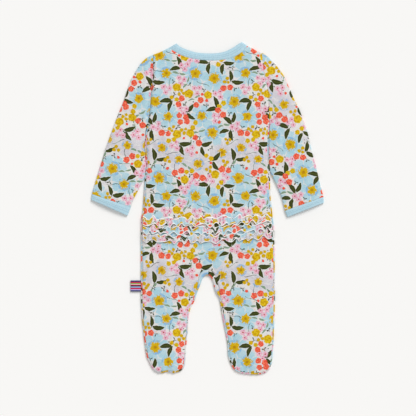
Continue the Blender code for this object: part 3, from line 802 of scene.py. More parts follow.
def bloom(graph, colour, spot, wash, tone):
    # a wide watercolour flower with a starry heart
    look = blooms[tone]
    far, angle = spot["far"], spot["angle"]
    ragged, grain = wash["ragged"], wash["grain"]
    main, pale, ground, deep, gold, brown = inks(
        tone, tone + "Pale", "ground", "blueDeep", "mustard", "mustardDeep")
    lobes = abs((angle * (look["petals"] / 2)).maths("COSINE"))
    edge = 0.76 + 0.24 * lobes ** 0.5 + 0.30 * (ragged - 0.5)
    paint = graph.colour(graph.step(wash["slow"] + 0.2 * far, 0.42, 0.80), main, pale)
    gap = graph.less(lobes, 0.05, 0.30) * graph.step(far, 0.36, 0.66)
    paint = graph.colour(0.75 * gap, paint, ground)
    colour = graph.colour(0.96 * graph.less(far - edge, -0.03, 0.03), colour, paint)
    ring = graph.less(abs(far - 1.22 * look["heart"]), 0.05, 0.14)
    blot = ring * graph.step(wash["slow"] + 0.5 * ragged, 0.70, 0.84)
    colour = graph.colour(0.75 * blot, colour, deep)
    points = (angle * look["points"] + 0.8).maths("COSINE")
    star = look["heart"] * (1.0 + 0.09 * points + 1.4 * (ragged - 0.5))
    gold = graph.colour(graph.step(grain, 0.56, 0.68), gold, brown)
    colour = graph.colour(graph.less(far - star, -0.015, 0.02), colour, gold)
    return graph.colour(0.9 * graph.less(far + 0.25 * (grain - 0.5), 0.07, 0.14), colour, brown)


def rosette(graph, colour, spot, wash, tone):
    # a small full flower painted in short strokes
    far, angle = spot["far"], spot["angle"]
    main, pale, deep = inks(tone, tone + "Pale", tone + "Deep")
    edge = 0.93 + 0.05 * (angle * 5.0).maths("COSINE") + 0.34 * (wash["ragged"] - 0.5)
    turns = far * 7.5 + angle * 2.0 + 7.0 * wash["ragged"]
    stroke = turns.maths("SINE") + 1.6 * (wash["grain"] - 0.5)
    paint = graph.colour(graph.step(stroke, 0.55, 0.95), main, pale)
    paint = graph.colour(0.85 * graph.less(stroke, -0.95, -0.60), paint, deep)
    return graph.colour(graph.less(far - edge, -0.06, 0.04), colour, paint)


def blossom(graph, colour, spot, wash):
    # five pale petals round a dark heart
    far = spot["far"]
    pink, deep, ground, heart = inks("pink", "pinkDeep", "ground", "heart")
    lobes = abs((spot["angle"] * 2.5).maths("COSINE"))
    edge = 0.70 + 0.28 * lobes ** 0.7 + 0.2 * (wash["ragged"] - 0.5)
    tone = graph.colour(graph.step(wash["ragged"], 0.42, 0.66), pink, deep)
    tone = graph.colour(0.5 * graph.less(lobes, 0.1, 0.4) * graph.step(far, 0.3, 0.6), tone, ground)
    colour = graph.colour(0.94 * graph.less(far - edge, -0.08, 0.05), colour, tone)
    return graph.colour(graph.less(far, 0.17, 0.27), colour, heart)


def leaf(graph, colour, spot, tone, wide):
    # a bent leaf on its stalk, with a paler rib
    x, y = spot["x"], spot["y"]
    green, vein, bare = inks(tone, tone + "Pale", "bare")
    bow = y - 0.20 * x * x + 0.08
    edge = wide * (1.0 - x * x).maths("MAXIMUM", 0.0) ** 0.7 * (1.0 - 0.25 * x)
    blade = graph.less(abs(bow) - edge, -0.04, 0.02) * graph.less(abs(x), 0.95, 1.0)
    stalk = graph.less(abs(bow), 0.03, 0.07) * graph.less(abs(x + 1.1), 0.38, 0.46)
    halo = graph.less(abs(bow) - edge, 0.04, 0.13) * graph.less(abs(x), 1.0, 1.1)
    colour = graph.colour(0.6 * halo, colour, bare)
    colour = graph.colour(blade.maths("MAXIMUM", stalk), colour, green)
    return graph.colour(0.55 * blade * graph.less(abs(bow), 0.015, 0.06), colour, vein)


def spray(graph, colour, spot, wash):
    # three small dark leaves from one point, none as long as the next
    far, angle = spot["far"], spot["angle"]
    shade, dark = inks("twig", "dark")
    lobes = abs((angle * 1.5).maths("COSINE")) ** 3.4
    lobes = lobes * (0.78 + 0.22 * (angle - 0.7).maths("COSINE"))
    tone = graph.colour(graph.step(wash["ragged"], 0.4, 0.6), dark, shade)
    return graph.colour(0.95 * graph.less(far - lobes, -0.06, 0.03), colour, tone)


def stem(graph, colour, spot, wash):
    # a long thin stem in a slack bend
    x, y = spot["x"], spot["y"]
    dark, sage = inks("dark", "sage")
    bent = y - 0.16 * (x * 2.6).maths("SINE") - 0.08 * x
    line = graph.less(abs(bent), 0.028, 0.055) * graph.less(abs(x), 0.80, 0.98)
    tone = graph.colour(graph.step(wash["slow"], 0.5, 0.56), dark, sage)
    return graph.colour(0.85 * line, colour, tone)


def berry(graph, colour, spot, wash, tone):
    # a small round fruit on a thin stalk that leads to the middle of its group
    x, y = spot["x"], spot["y"]
    stalk = graph.less(abs(y + 0.1 * x), 0.07, 0.15) * graph.less(abs(x + 1.2), 0.45, 0.55)
    colour = graph.colour(0.8 * stalk, colour, tint(*printed["twig"]))
    flesh = spot["far"] + 0.5 * (wash["ragged"] - 0.5)
    return graph.colour(graph.less(flesh, 0.92, 1.08), colour, tone)


def printGroup():
    tree = bpy.data.node_groups.new("Print", "ShaderNodeTree")
    tree.interface.new_socket("Cut", in_out="INPUT", socket_type="NodeSocketVector")
    tree.interface.new_socket("Colour", in_out="OUTPUT", socket_type="NodeSocketColor")
    graph = Graph(tree)
    entry = Wire(graph, tree.nodes.new("NodeGroupInput").outputs[0])
    raw = graph.vector("MULTIPLY", entry, inMillimetres)
    # edges wander a little, as paint does
    wander = printed["wander"]
    drift = graph.noise(raw, printed["wanderScale"], 1.0, 1)
    place = graph.vector("MULTIPLY_ADD", drift, (wander, wander, 0.0), raw)
    place = graph.vector("SUBTRACT", place, (wander / 2, wander / 2, 0.0))
    wash = {name: graph.noise(raw, *spec) for name, spec in printed["wash"].items()}
    ground, haze, dark, peach, coral, gold, brown = inks(
        "ground", "haze", "dark", "peach", "coral", "mustard", "mustardDeep")

    colour = graph.colour(graph.step(wash["slow"], 0.45, 0.70), ground, haze)
    # specks strewn between the motifs
    cells = graph.node("TexVoronoi", {"voronoi_dimensions": "2D"},
                       {"Vector": raw, "Scale": printed["speckScale"], "Randomness": 0.9})
    pick, size = graph.parts(Wire(graph, cells.socket.node.outputs["Color"]))[:2]
    speck = graph.less(cells, 0.09 * size + 0.06, 0.09 * size + 0.10) * graph.step(pick, 0.35, 0.36)
    tone = graph.colour(graph.step(pick, 0.70, 0.71), dark, peach)
    colour = graph.colour(0.9 * speck, colour, tone)

    spots = {kind: closest(graph, place, rows) for kind, rows in scatter().items()}
    for tone in blooms:
        colour = bloom(graph, colour, spots[tone], wash, tone)
    colour = leaf(graph, colour, spots["frond"], "sage", 0.30)
    colour = stem(graph, colour, spots["stem"], wash)
    colour = spray(graph, colour, spots["spray"], wash)
    colour = leaf(graph, colour, spots["leaf"], "leaf", 0.38)
    colour = blossom(graph, colour, spots["pink"], wash)
    tone = graph.colour(graph.step(wash["grain"], 0.52, 0.62), gold, brown)
    colour = berry(graph, colour, spots["berry"], wash, tone)
    colour = berry(graph, colour, spots["bud"], wash, coral)
    colour = rosette(graph, colour, spots["gold"], wash, "mustard")
    colour = rosette(graph, colour, spots["coral"], wash, "coral")
    colour = rosette(graph, colour, spots["rose"], wash, "mustard")

    least, spread = printed["mottle"]
    mottle = least + spread * graph.noise(raw, 0.60, 3.0)
    colour = graph.vector("MULTIPLY", colour, graph.grey(mottle))
    leave = tree.nodes.new("NodeGroupOutput")
    tree.links.new(colour.socket, leave.inputs[0])
    print("print drawn with", len(tree.nodes), "nodes")
    return tree


def knit(graph, place, wale, course):
    # height of a fine jersey knit: small slanted loops in columns
    x, y = graph.parts(place)[:2]
    column = (x / wale).maths("FRACT") - 0.5
    slant = (y / course + abs(column) * 1.2).maths("FRACT") - 0.5
    return (1.0 - abs(column) * 2.0) ** 0.6 * (1.0 - 1.6 * abs(slant))


surface = {"fuzz": 0.5, "relief": 0.35, "shade": (0.87, 0.26), "sheen": 0.12, "sheenRoughness": 0.5,
           "shine": 0.2}


def clothMaterial(name, colourOf, wale, course, bump, roughness=0.92):
    made = bpy.data.materials.new(name)
    made.use_nodes = True
    graph = Graph(made.node_tree)
    shader = made.node_tree.nodes["Principled BSDF"]
    cut = graph.node("UVMap", {"uv_map": "cut"})
    place = graph.vector("MULTIPLY", cut, inMillimetres)
    colour = colourOf(graph, cut, place)
    height = knit(graph, place, wale, course) + surface["fuzz"] * graph.noise(place, 2.6, 3.0)
    relief = graph.node("Bump", None, {"Strength": surface["relief"], "Distance": bump * mm,
                                       "Height": height})
    least, spread = surface["shade"]
    shade = least + spread * graph.noise(place, 0.9, 3.0)
    soft = graph.vector("MULTIPLY", colour, graph.grey(shade))
    made.node_tree.links.new(soft.socket, shader.inputs["Base Color"])
    made.node_tree.links.new(relief.socket, shader.inputs["Normal"])
    shader.inputs["Roughness"].default_value = roughness
    shader.inputs["Sheen Weight"].default_value = surface["sheen"]
    shader.inputs["Sheen Roughness"].default_value = surface["sheenRoughness"]
    shader.inputs["Specular IOR Level"].default_value = surface["shine"]
    return made


printTree = printGroup()


def sharedPrint(graph, cut):
    return graph.node("Group", {"node_tree": printTree}, (cut,))


def acrossShare(graph):
    return graph.node("Attribute", {"attribute_name": "across"}, (), 2)


def printColour(graph, cut, place):
    # the frills' edges are overlocked in white
    hem = graph.step(acrossShare(graph), 0.81, 0.85)
    return graph.colour(hem, sharedPrint(graph, cut), tint(*printed["hem"]))


def reverseColour(graph, cut, place):
    # the print shows through a little
    return graph.colour(0.16, tint(*printed["reverse"]), sharedPrint(graph, cut))


bindingLook = {
    "rows": 26, "cuffColumns": 46, "neckColumns": 140,
    "dome": 0.5, "press": 0.2, "pressWidth": 0.06,
    "rowsAt": (0.38, 0.62),         # where the two rows of stitches run, from the seam to the edge
    "stitch": {"length": 2.5, "gap": 0.7, "width": 0.6},
    "neckWide": 10.6, "cuffWide": 9.8, "neckCut": (0.0125, 0.320), "cuffCut": (0.0115, 0.137),
    "ridgeWidth": 1.3, "blue": (174, 209, 224), "pale": (189, 218, 229), "ridge": (154, 193, 213),
    # the pressed colour is painted shade for the creases and needle holes of the stitching rows
    "pressedShade": (112, 152, 176), "thread": (164, 198, 212), "threadPale": (192, 218, 228),
}


def bindingColour(graph, cut, place):
    look = bindingLook
    x = graph.parts(place)[0]
    colour = graph.colour(graph.step(graph.noise(place, 0.5, 3.0), 0.3, 0.7),
                          tint(*look["blue"]), tint(*look["pale"]))
    ridge = (x * (2 * math.pi / look["ridgeWidth"])).maths("SINE")
    colour = graph.colour(graph.step(ridge, 0.2, 1.0) * 0.10, colour, tint(*look["ridge"]))
    # painted shade: the cloth is drawn darker along the rows that press it in, most of all between two
    # stitches, in place of the shadow in the crease and the needle holes
    stitch = look["stitch"]
    beat = (x - stitch["gap"] / 2) / (stitch["length"] + stitch["gap"]) + 0.5
    hole = graph.less(abs(beat.maths("FRACT") - 0.5), 0.05, 0.16)
    share = acrossShare(graph)
    for at in look["rowsAt"]:
        near = graph.less(abs(share - at), 0.02, 0.07)
        colour = graph.colour(near * (0.10 + 0.45 * hole), colour, tint(*look["pressedShade"]))
    return colour


ribbonStripes = (       # height from the lower edge, colour
    (0.0, (32, 50, 104)), (2.1, (190, 172, 226)), (3.7, (194, 26, 72)), (6.3, (112, 188, 226)),
    (8.0, (112, 0, 46)), (10.7, (242, 176, 184)), (12.2, (104, 176, 66)), (13.6, (196, 28, 74)),
    (15.6, (32, 50, 104)),
)


def ribbonColour(graph, cut, place):
    y = graph.parts(place)[1]
    height = y + 0.3 * (graph.noise(place, 1.2, 2.0) - 0.5)
    colour = tint(*ribbonStripes[0][1])
    for low, shade in ribbonStripes[1:]:
        colour = graph.colour(graph.step(height, low - 0.12, low + 0.12), colour, tint(*shade))
    return colour


def threadColour(graph, cut, place):
    return graph.colour(graph.noise(place, 1.0), tint(*bindingLook["thread"]),
                        tint(*bindingLook["threadPale"]))


jersey = clothMaterial("Printed jersey", printColour, wale=0.95, course=0.8, bump=0.10)
reverse = clothMaterial("Jersey reverse", reverseColour, wale=0.95, course=0.8, bump=0.10)
binding = clothMaterial("Light blue rib", bindingColour, wale=1.3, course=1.0, bump=0.16)
ribbon = clothMaterial("Striped ribbon", ribbonColour, wale=0.5, course=0.35, bump=0.06, roughness=0.65)
thread = clothMaterial("Thread", threadColour, wale=0.4, course=0.4, bump=0.04, roughness=0.6)
print("materials ready")


def half(edges, side):
    # the outline of one half, every portion from the top down and round the foot up to the crotch
    lower = edges["lower"]
    centre = edges["counts"]["crotch"] // 2
    names = ("slit", "trunk", "leg", "footSide", "toe", "footInner", "inner")
    found = {name: lower[name + side.title()].copy() for name in names}
    found["crotch"] = lower["crotch"][:centre + 1].copy()
    if side == "right":
        found = {name: edge[::-1] for name, edge in found.items()}
        found["crotch"] = lower["crotch"][centre:][::-1].copy()
    return found


armholeTop = 4      # the first steps of an armhole run straight from the shoulder


def armholeFrom(top, side, out, count):
    hole = shifted(curve(armhole[side], count), dx=out * away[side])
    hole[:armholeTop + 1] = straight(top, hole[armholeTop], armholeTop)
    hole[-1, 1] += slit
    return hole


def torso(grids, edges, side, depth, lift, neckLine, gap, shoulderDepth, cutOf):
    # one half of the body down to the crotch's height, and the lines that the rest goes on from
    sign = away[side]
    counts = edges["counts"]
    found = half(edges, side)
    found["crotch"][-1, 0] += sign * gap
    flat = {name: inset(edge, depth(edge)) for name, edge in found.items()}
    head = straight(flat["leg"][0], flat["crotch"][0], counts["side"])
    bottom = np.concatenate([head[:-1], flat["crotch"]])
    outer = np.concatenate([flat["slit"][:-1], flat["trunk"]])

    centre = counts["band"] // 2
    neck = neckLine[:centre + 1] if side == "left" else neckLine[centre:][::-1]
    neck[-1, 0] += sign * gap
    # columns at the chest: partly as wide as at the bottom, partly even
    share = (bottom[:, 0] - bottom[0, 0]) / (bottom[-1, 0] - bottom[0, 0])
    share = 0.4 * share + 0.6 * np.linspace(0.0, 1.0, len(bottom))
    waist = np.array((centreX + sign * gap, chestY))
    chest = outer[0] + (waist - outer[0]) * share[:, None]
    body = patch(chest, bottom, outer, straight(waist, bottom[-1], len(outer) - 1))
    level = shifted(chest, dy=slit)

    shoulder = inset(edges["upper"][side]["shoulder"], shoulderDepth)[::-1]
    shoulder[0] = towards(shoulder[0], shoulder[1], touch)
    shoulder[-1] = towards(shoulder[-1], shoulder[-2], 2 * touch)
    above = np.concatenate([shoulder, neck[1:]])
    hole = armholeFrom(shoulder[0], side, -touch / 2, counts["yoke"])
    under = np.concatenate([hole[-1:], level])
    opening = straight(above[-1], under[-1], counts["yoke"])
    yoke = relaxed(patch(above, under, hole, opening))
    for plan in (body, np.stack([level, chest]), yoke):
        grids.add(lift(plan), cutOf(plan))
    return {"edges": found, "flat": flat, "head": head, "shoulder": shoulder}


backLook = {"shift": (18.0, 12.0), "cut": (0.225, 0.545), "area": 0.094}


def buildBack():
    grids = Grids()
    cutOf = cutFrom(backLook["shift"])
    for side in sides:
        neck = beside(curve(neckLines["seam"], fine["band"]), touch)
        made = torso(grids, fineEdges, side, lambda edge: roll + touch + edge[:, 4], raised, neck,
                     gap=0.0, shoulderDepth=roll, cutOf=cutOf)
        flat = made["flat"]
        outer = np.concatenate([flat["leg"], flat["footSide"][1:]])
        inseam = np.concatenate([flat["footInner"], flat["inner"][1:]])[::-1]
        leg = patch(made["head"], flat["toe"], outer, inseam)
        grids.add(raised(leg), cutOf(leg))
        # over the shoulder
        edge = fineEdges["upper"][side]["shoulder"][::-1].copy()
        edge[:, :2] = made["shoulder"] + edge[:, 2:4] * roll
        points, gone = rolled(edge, fine["roll"])
        grids.add(points, cutOf(fromAbove(edge, gone)))
    return jerseyPiece("back_panel", grids)


frontLook = {"left": (64.0, 90.0), "right": (10.0, 30.0), "shoulderGap": 0.8,
             "cut": (0.125, 0.505), "area": 0.046}


def buildFront(side):
    grids = Grids()
    cutOf = cutFrom(frontLook[side], -1.0)
    neck = beside(curve(neckLines["frontSeam"], plain["band"]), seam)
    made = torso(grids, plainEdges, side, lambda edge: roll, floored, neck,
                 gap=seam / 2, shoulderDepth=roll + frontLook["shoulderGap"], cutOf=cutOf)
    found, flat = made["edges"], made["flat"]
    ankle = straight(flat["leg"][-1], flat["inner"][0], plain["side"])
    leg = patch(made["head"], ankle, flat["leg"], flat["inner"][::-1])
    grids.add(floored(leg), cutOf(leg))
    outer = np.concatenate([found["slit"][:-1], found["trunk"][:-1], found["leg"]])
    inseam = np.concatenate([found["inner"][:-1], found["crotch"]])
    for edge in (outer, inseam):
        points, gone = rolled(edge, plain["roll"], flange=True)
        grids.add(points, cutOf(gone))
    return jerseyPiece("front_panel_" + side, grids)


footLook = {"left": (30.0, 160.0), "right": (95.0, 70.0), "cut": (0.085, 0.056), "area": 0.0035}


def buildFoot(side):
    grids = Grids()
    cutOf = cutFrom(footLook[side], -1.0)
    found = half(fineEdges, side)
    edge = np.concatenate([found["footSide"], found["toe"][1:], found["footInner"][1:]])
    edge[0, 1] -= seam
    edge[-1, 1] -= seam
    flat = inset(edge, roll)
    rows, cols = fine["foot"], fine["side"]
    down, along, up = flat[:rows + 1], flat[rows:rows + cols + 1], flat[rows + cols:]
    sole = patch(straight(down[0], up[-1], cols), along, down, up[::-1])
    grids.add(floored(sole), cutOf(sole))
    points, gone = rolled(edge, fine["roll"], flange=True)
    grids.add(points, cutOf(gone))
    return jerseyPiece("foot_upper_" + side, grids)


sleeveLook = {          # how the upper and the lower side lie on the printed cloth
    "left": {"pivot": (-95.0, 245.0), "turn": 14.0, "shift": (40.0, 22.0), "below": (96.0, 120.0)},
    "right": {"pivot": (95.0, 245.0), "turn": -15.0, "shift": (84.0, 150.0), "below": (20.0, 60.0)},
    "cut": (0.140, 0.262), "area": 0.0265,
}


def buildSleeve(side):
    look = sleeveLook[side]
    grids = Grids()
    turn = math.radians(look["turn"])
    spin = np.array(((math.cos(turn), -math.sin(turn)), (math.sin(turn), math.cos(turn))))

    def cutAbove(plan):
        return (np.asarray(plan) - look["pivot"]) @ spin + look["shift"]

    def cutBelow(plan):
        return (np.asarray(plan) - look["pivot"]) @ spin * (-1.0, 1.0) + look["below"]

    upper, lower = fineEdges["upper"][side], fineEdges["under"][side]
    cap = upper["cap"].copy()
    cap[0, :2] = towards(cap[0, :2], cap[1, :2], touch)
    cap[-1, :2] = towards(cap[-1, :2], cap[-2, :2], slit)
    edge = np.concatenate([cap, upper["sleeve"]])
    under = np.concatenate([lower["slit"][:-1], lower["free"]])
    under[:, 0] += away[side] * slit
    outside, inside = inset(edge, roll), inset(under, roll)
    rows, cols = fine["yoke"], fine["sleeveAcross"]
    left = outside[rows + 1:]
    first = straight(left[0], inside[0], cols)
    wrist = straight(left[-1], inside[-1], cols)
    level = straight(outside[rows], inside[0] + (0.0, slit), cols)
    hole = armholeFrom(outside[0], side, touch / 2, rows)
    peak = np.repeat(outside[:1], cols + 2, axis=0)
    across = np.concatenate([level, hole[-1:]])
    plans = (patch(peak, across, outside[:rows + 1], hole), np.stack([level, first]),
             patch(first, wrist, left, inside))
    for lift, cutOf in ((floored, cutBelow), (raised, cutAbove)):
        for plan in plans:
            grids.add(lift(plan), cutOf(plan))
    for line in (edge, under):
        points, gone = rolled(line, fine["roll"])
        grids.add(points, cutAbove(fromAbove(line, gone)))
    return jerseyPiece("sleeve_panel_" + side, grids)


def bandRise(share, columns, fade):
    # a folded band is round across, with the stitching rows pressed in, and flat at both folds
    look = bindingLook
    rise = look["dome"] * math.sin(math.pi * share)
    for at in look["rowsAt"]:
        rise -= look["press"] * math.exp(-((share - at) / look["pressWidth"]) ** 2)
    return rise * np.sin(np.linspace(0, math.pi, columns + 1)) ** fade


stitchShape = {"along": (0.0, 0.10, 0.5, 0.90, 1.0), "thick": (0.0, 0.7, 1.0, 0.7, 0.0), "sides": 5}


def sew(name, rows, stitch):
    # rows of short stitches, each a small closed sliver half sunk in the cloth
    grids = Grids()
    along = np.array(stitchShape["along"])
    sizes = np.array(stitchShape["thick"]) * stitch["width"] / 2
    turns = np.linspace(0.0, 2 * math.pi, stitchShape["sides"] + 1)[:-1]
    for line, neighbour in rows:
        line, neighbour = np.asarray(line), np.asarray(neighbour)
        run = np.concatenate(([0.0], np.cumsum(np.linalg.norm(np.diff(line, axis=0), axis=1))))
        every = stitch["length"] + stitch["gap"]
        for start in np.arange(stitch["gap"], run[-1] - stitch["length"], every):
            at = start + along * stitch["length"]
            spots = np.stack([np.interp(at, run, line[:, k]) for k in range(3)], axis=1)
            across = np.stack([np.interp(at[2], run, neighbour[:, k]) for k in range(3)]) - spots[2]
            ahead = (spots[-1] - spots[0]) / np.linalg.norm(spots[-1] - spots[0])
            across -= ahead * across.dot(ahead)
            across /= np.linalg.norm(across)
            above = np.cross(ahead, across)
            ring = np.cos(turns)[:, None] * across + np.sin(turns)[:, None] * above
            tube = spots[:, None] + sizes[:, None, None] * ring[None]
            cut = np.stack(np.broadcast_arrays(at[:, None], stitch["width"] * turns), axis=-1)
            grids.add(tube, cut, closed=True)
    return sewnOn(name, grids.mesh(name), (thread,))


def sewnBand(name, stitchesName, rings, wide):
    # a binding from its rings, and the two rows of stitches that run round it
    rings = np.asarray(rings)
    steps = np.linalg.norm(np.diff(rings, axis=1), axis=2)
    along = np.pad(np.cumsum(steps, axis=1), ((0, 0), (1, 0)))
    share = np.broadcast_to(np.linspace(0.0, 1.0, len(rings))[:, None], along.shape)
    grids = Grids()
    grids.add(rings, np.stack([along, share * wide], axis=-1), across=share)
    band = piece(name, grids, (binding, binding), cloth["bandWall"])
    rows = [round(at * (len(rings) - 1)) for at in bindingLook["rowsAt"]]
    pairs = [(rings[row], rings[row + 1]) for row in rows]
    return band, sew(stitchesName, pairs, bindingLook["stitch"])


def buildCuff(side):
    outer = fineEdges["upper"][side]["cuff"].copy()
    under = fineEdges["under"][side]["cuff"].copy()
    under[:, 0] += away[side] * slit
    rows = len(outer) - 1
    for edge in (outer, under):
        last = edge[-1, :2].copy()
        edge[:, :2] = straight(towards(edge[0, :2], last, touch), last, rows)
    left, right = inset(outer, roll), inset(under, roll)
    outerRoll = rolled(outer, fine["roll"])[0]
    underRoll = rolled(under, fine["roll"])[0]
    columns = bindingLook["cuffColumns"]
    rings = []
    for k in range(rows + 1):
        row = straight(left[k], right[k], columns)
        lifted = raised(row)
        lifted[:, 2] += bandRise(k / rows, columns, 0.5)
        rings.append(np.concatenate([floored(row), underRoll[k][1:-1], lifted[::-1],
                                     outerRoll[k][-2:0:-1], floored(row[:1])]))
    return sewnBand("cuff_binding_" + side, "cuff_stitches_" + side, rings, bindingLook["cuffWide"])


def drawIn(line, first, last, reach=14.0):
    # moves both ends of a line to new places, and what is near them with them
    run = runOf(line)
    for end, place, way in ((0, first, run), (-1, last, run[-1] - run)):
        line += (place - line[end]) * (np.maximum(1.0 - way / reach, 0.0) ** 1.5)[:, None]


def buildNeck():
    rows, columns = bindingLook["rows"], bindingLook["neckColumns"]
    lines = {name: curve(points, columns) for name, points in neckLines.items()}
    folded = {side: resample(rough["upper"][side]["fold"][::-1], rows) for side in sides}
    rings = []
    for k in range(rows + 1):
        share = k / rows
        tips = {side: folded[side][k:k + 1] for side in sides}
        ends = {side: inset(tips[side], roll)[0] for side in sides}
        turns = {side: rolled(tips[side], fine["roll"])[0][0] for side in sides}
        behind = lines["seam"] * (1 - share) + lines["edge"] * share
        before = lines["frontSeam"] * (1 - share) + lines["frontEdge"] * share
        for line in (behind, before):
            drawIn(line, ends["left"], ends["right"])
        ring = raised(behind)
        ring[:, 2] += bandRise(share, columns, 0.4)
        rings.append(np.concatenate([ring, turns["right"][-2:0:-1], floored(before[::-1]),
                                     turns["left"][1:-1], ring[:1]]))
    return sewnBand("neck_binding_ring", "neck_stitches", rings, bindingLook["neckWide"])


frillLook = {
    "lines": (              # x, then the heights of the four frill edges, from the upper one down
        (-105.5, -12.6, -25.6, -38.0, -50.4),
        (-60.0, -12.8, -26.4, -39.6, -52.0),
        (0.0, -12.2, -26.2, -39.8, -52.6),
        (60.0, -9.4, -23.4, -36.6, -48.8),
        (106.4, -8.6, -20.8, -32.8, -44.0)),
    "ends": ((-105.6, 104.2), (-105.8, 105.4), (-106.0, 106.2)),
    "upper": (              # waves across, shift, sway, rise: the upper edges lie lower
        (11.4, 0.2, 2.3, 1.0), (13.3, 2.9, 2.3, 0.6), (12.2, 4.4, 2.3, 0.6)),
    "lower": (
        (12.6, 1.9, 2.6, 1.3), (14.1, 3.9, 2.6, 1.3), (11.7, 0.9, 2.5, 1.1)),
    "over": (0.9, 0.9, 0.2),        # the lower edge lies over the next frill
    "columns": 479, "rows": 24, "lean": 0.8, "leanEnds": 14, "apart": 1.3, "lift": 0.25,
    "pucker": 0.4, "puckerRun": 5.3, "gather": 1.5, "deep": 18.0, "shift": (37.0, -41.0),
    "cut": (0.236, 0.0145), "stitch": {"length": 2.2, "gap": 0.7, "width": 0.5},
}


def frillEdge(xs, number, edge):
    # one wavy edge of a frill: its y, how much it stands up, and the waves' phase
    look = frillLook
    waves, shift, sway, rise = look[edge][number]
    table = np.array(look["lines"])
    t = (xs - xs[0]) / (xs[-1] - xs[0])
    phase = 2 * math.pi * (waves * t + 0.3 * np.sin(2 * math.pi * (2.3 * t + 0.2 * shift))) + shift
    uneven = 1.0 + 0.35 * np.sin(2 * math.pi * 3.1 * t + 2.0 * shift)
    column = number + (1 if edge == "upper" else 2)
    y = np.interp(xs, table[:, 0], table[:, column])
    y += sway * uneven * (np.sin(phase) + 0.30 * np.sin(1.7 * phase + 1.0))
    lift = rise * (0.5 + 0.5 * np.sin(phase + 1.3)) * (0.8 + 0.2 * uneven)
    return y, lift, phase


def buildFrill(number):
    look = frillLook
    start, end = look["ends"][number]
    xs = np.linspace(start, end, look["columns"] + 1)
    highY, highLift, highPhase = frillEdge(xs, number, "upper")
    lowY, lowLift, lowPhase = frillEdge(xs, number, "lower")
    lowLift += look["over"][number]
    highY -= look["apart"] * (number > 0)
    lowY += look["apart"] * (number < 2)
    ease = np.minimum(1.0, (0.5 - abs((xs - start) / (end - start) - 0.5)) * look["leanEnds"])
    crimp = 1.0 + np.sin(2 * math.pi * xs / look["puckerRun"] + 0.8 * np.sin(xs / 9.0))
    shift = number * np.array(look["shift"])
    points, cuts, outs = [], [], []
    for v in np.linspace(0.0, 1.0, look["rows"] + 1):
        out = abs(2 * v - 1)
        share = out ** 1.3
        lift, phase = (highLift, highPhase) if v < 0.5 else (lowLift, lowPhase)
        x = xs + look["lean"] * share * np.sin(phase - 0.3) * ease
        plan = np.column_stack([x, highY + (lowY - highY) * v])
        z = topOf(plan) + seam + cloth["frillWall"] + look["lift"] + lift * share
        points.append(np.column_stack([plan, z + look["pucker"] * (1 - out) * crimp]))
        depth = np.full(len(xs), (0.5 - v) * look["deep"])
        cuts.append(np.column_stack([xs * look["gather"], depth]) + shift)
        outs.append(np.full(len(xs), out))
    grids = Grids()
    grids.add(points, cuts, across=outs)
    name = "frill_%d" % (number + 1)
    centre = look["rows"] // 2
    strip = jerseyPiece(name + "_strip", grids, cloth["frillWall"])
    gathering = [(points[centre], points[centre + 1])]
    return strip, sew(name + "_stitches", gathering, look["stitch"])


stripLook = {"width": 20.0, "belowNeck": 1.5, "aboveCrotch": 18.0, "rows": 60, "columns": 7,
             "cut": (0.020, 0.307)}


def buildStrip():
    look = stripLook
    neck = curve(neckLines["frontSeam"], 18)
    high = neck[len(neck) // 2, 1] - look["belowNeck"]
    low = max(point[1] for point in outline["crotch"][1]) + look["aboveCrotch"]
    across = centreX + np.linspace(-1, 1, look["columns"]) * look["width"] / 2
    plan = np.stack(np.meshgrid(across, np.linspace(high, low, look["rows"])), axis=-1)
    grids = Grids()
    grids.add(floored(plan, 2 * cloth["wall"] + seam), plan)
    return jerseyPiece("front_strip", grids)


labelLook = {
    "root": -108.7, "length": 16.9, "top": -115.0, "bottom": -132.8, "wall": 1.0, "thick": 2.3,
    "columns": 9, "turnSteps": 8, "rows": 15, "cut": (0.037, 0.0178),
}


def buildLabel():
    # the tab runs out along the floor, turns and comes back above
    look = labelLook
    radius = look["thick"] / 2
    end = look["root"] - look["length"] + radius
    out = np.linspace(look["root"], end, look["columns"] + 1)
    turns = np.linspace(0.0, math.pi, look["turnSteps"] + 1)[1:-1]
    section = [(x, 0.0) for x in out]
    section += [(end - radius * math.sin(turn), radius * (1 - math.cos(turn))) for turn in turns]
    section += [(x, look["thick"]) for x in out[::-1]]
    section = np.array(section)
    run = runOf(section)
    points, cuts = [], []
    for y in np.linspace(look["top"], look["bottom"], look["rows"] + 1):
        height = np.full(len(section), y)
        points.append(np.column_stack([section[:, 0], height, section[:, 1]]))
        cuts.append(np.column_stack([run, height - look["bottom"]]))
    grids = Grids()
    grids.add(points, cuts)
    return piece("side_tab", grids, (ribbon, ribbon), look["wall"], bottom=radius)


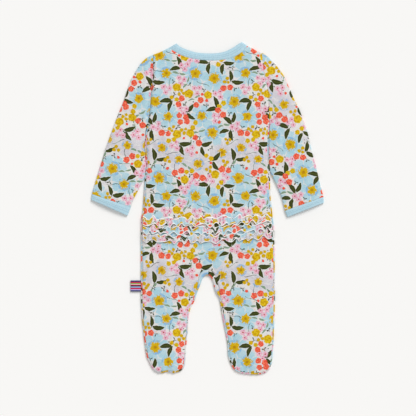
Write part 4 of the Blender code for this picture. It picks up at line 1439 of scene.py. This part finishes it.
back = buildBack()
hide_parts("back")
print("back", len(back.data.polygons))
for side in sides:
    buildFront(side)
    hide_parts("front_" + side)
    foot = buildFoot(side)
    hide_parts("foot_" + side)
    sleeve = buildSleeve(side)
    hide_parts("sleeve_" + side)
    cuff, cuffStitches = buildCuff(side)
    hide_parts("cuff_" + side)
    print(side, "side ready")
neck, neckStitches = buildNeck()
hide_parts("neck_binding")
for number in range(3):
    frill, frillStitches = buildFrill(number)
    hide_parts("frill_%d" % (number + 1))
strip = buildStrip()
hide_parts("placket")
label = buildLabel()
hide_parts("side_label")
print("pieces ready")


studio = {              # in metres; the lens and the sensor in millimetres
    "paper": (249, 248, 246), "paperHalf": 3.0, "paperDrop": 0.0003, "sky": 0.60,
    "sun": 2.02, "sunFrom": (1.35, 2.0, 1.85), "sunAngle": 28.0,
    "lens": 212.0, "sensor": 36.0, "over": (0.00075, 0.00036), "framed": 0.678, "focusHeight": 0.004,
    "clip": 50.0,
}

wide, low = studio["paperHalf"], -studio["paperDrop"]
paper = bpy.data.meshes.new("floor")
paper.from_pydata([(-wide, -wide, low), (wide, -wide, low), (wide, wide, low), (-wide, wide, low)],
                  [], [(0, 1, 2, 3)])
floor = placed("floor", paper)
floorPaint = bpy.data.materials.new("Pale floor")
floorPaint.use_nodes = True
floorShader = floorPaint.node_tree.nodes["Principled BSDF"]
floorShader.inputs["Base Color"].default_value = tint(*studio["paper"])
floorShader.inputs["Roughness"].default_value = 0.95
floorShader.inputs["Specular IOR Level"].default_value = 0.0
paper.materials.append(floorPaint)

world = bpy.data.worlds.new("Studio")
world.use_nodes = True
sky = world.node_tree.nodes["Background"]
sky.inputs["Color"].default_value = (1.0, 1.0, 1.0, 1.0)
sky.inputs["Strength"].default_value = studio["sky"]
bpy.context.scene.world = world

sun = bpy.data.lights.new("Key", "SUN")
sun.energy = studio["sun"]
sun.angle = math.radians(studio["sunAngle"])
key = placed("Key", sun)
key.rotation_euler = (-Vector(studio["sunFrom"])).to_track_quat("-Z", "Y").to_euler()

view = bpy.data.cameras.new("Camera")
view.lens = studio["lens"]
view.sensor_width = studio["sensor"]
view.clip_end = studio["clip"]
camera = placed("Camera", view)
distance = studio["framed"] * studio["lens"] / studio["sensor"]
camera.location = (*studio["over"], studio["focusHeight"] + distance)
bpy.context.scene.camera = camera
bpy.context.scene.view_settings.view_transform = "Standard"
print("light and camera ready")
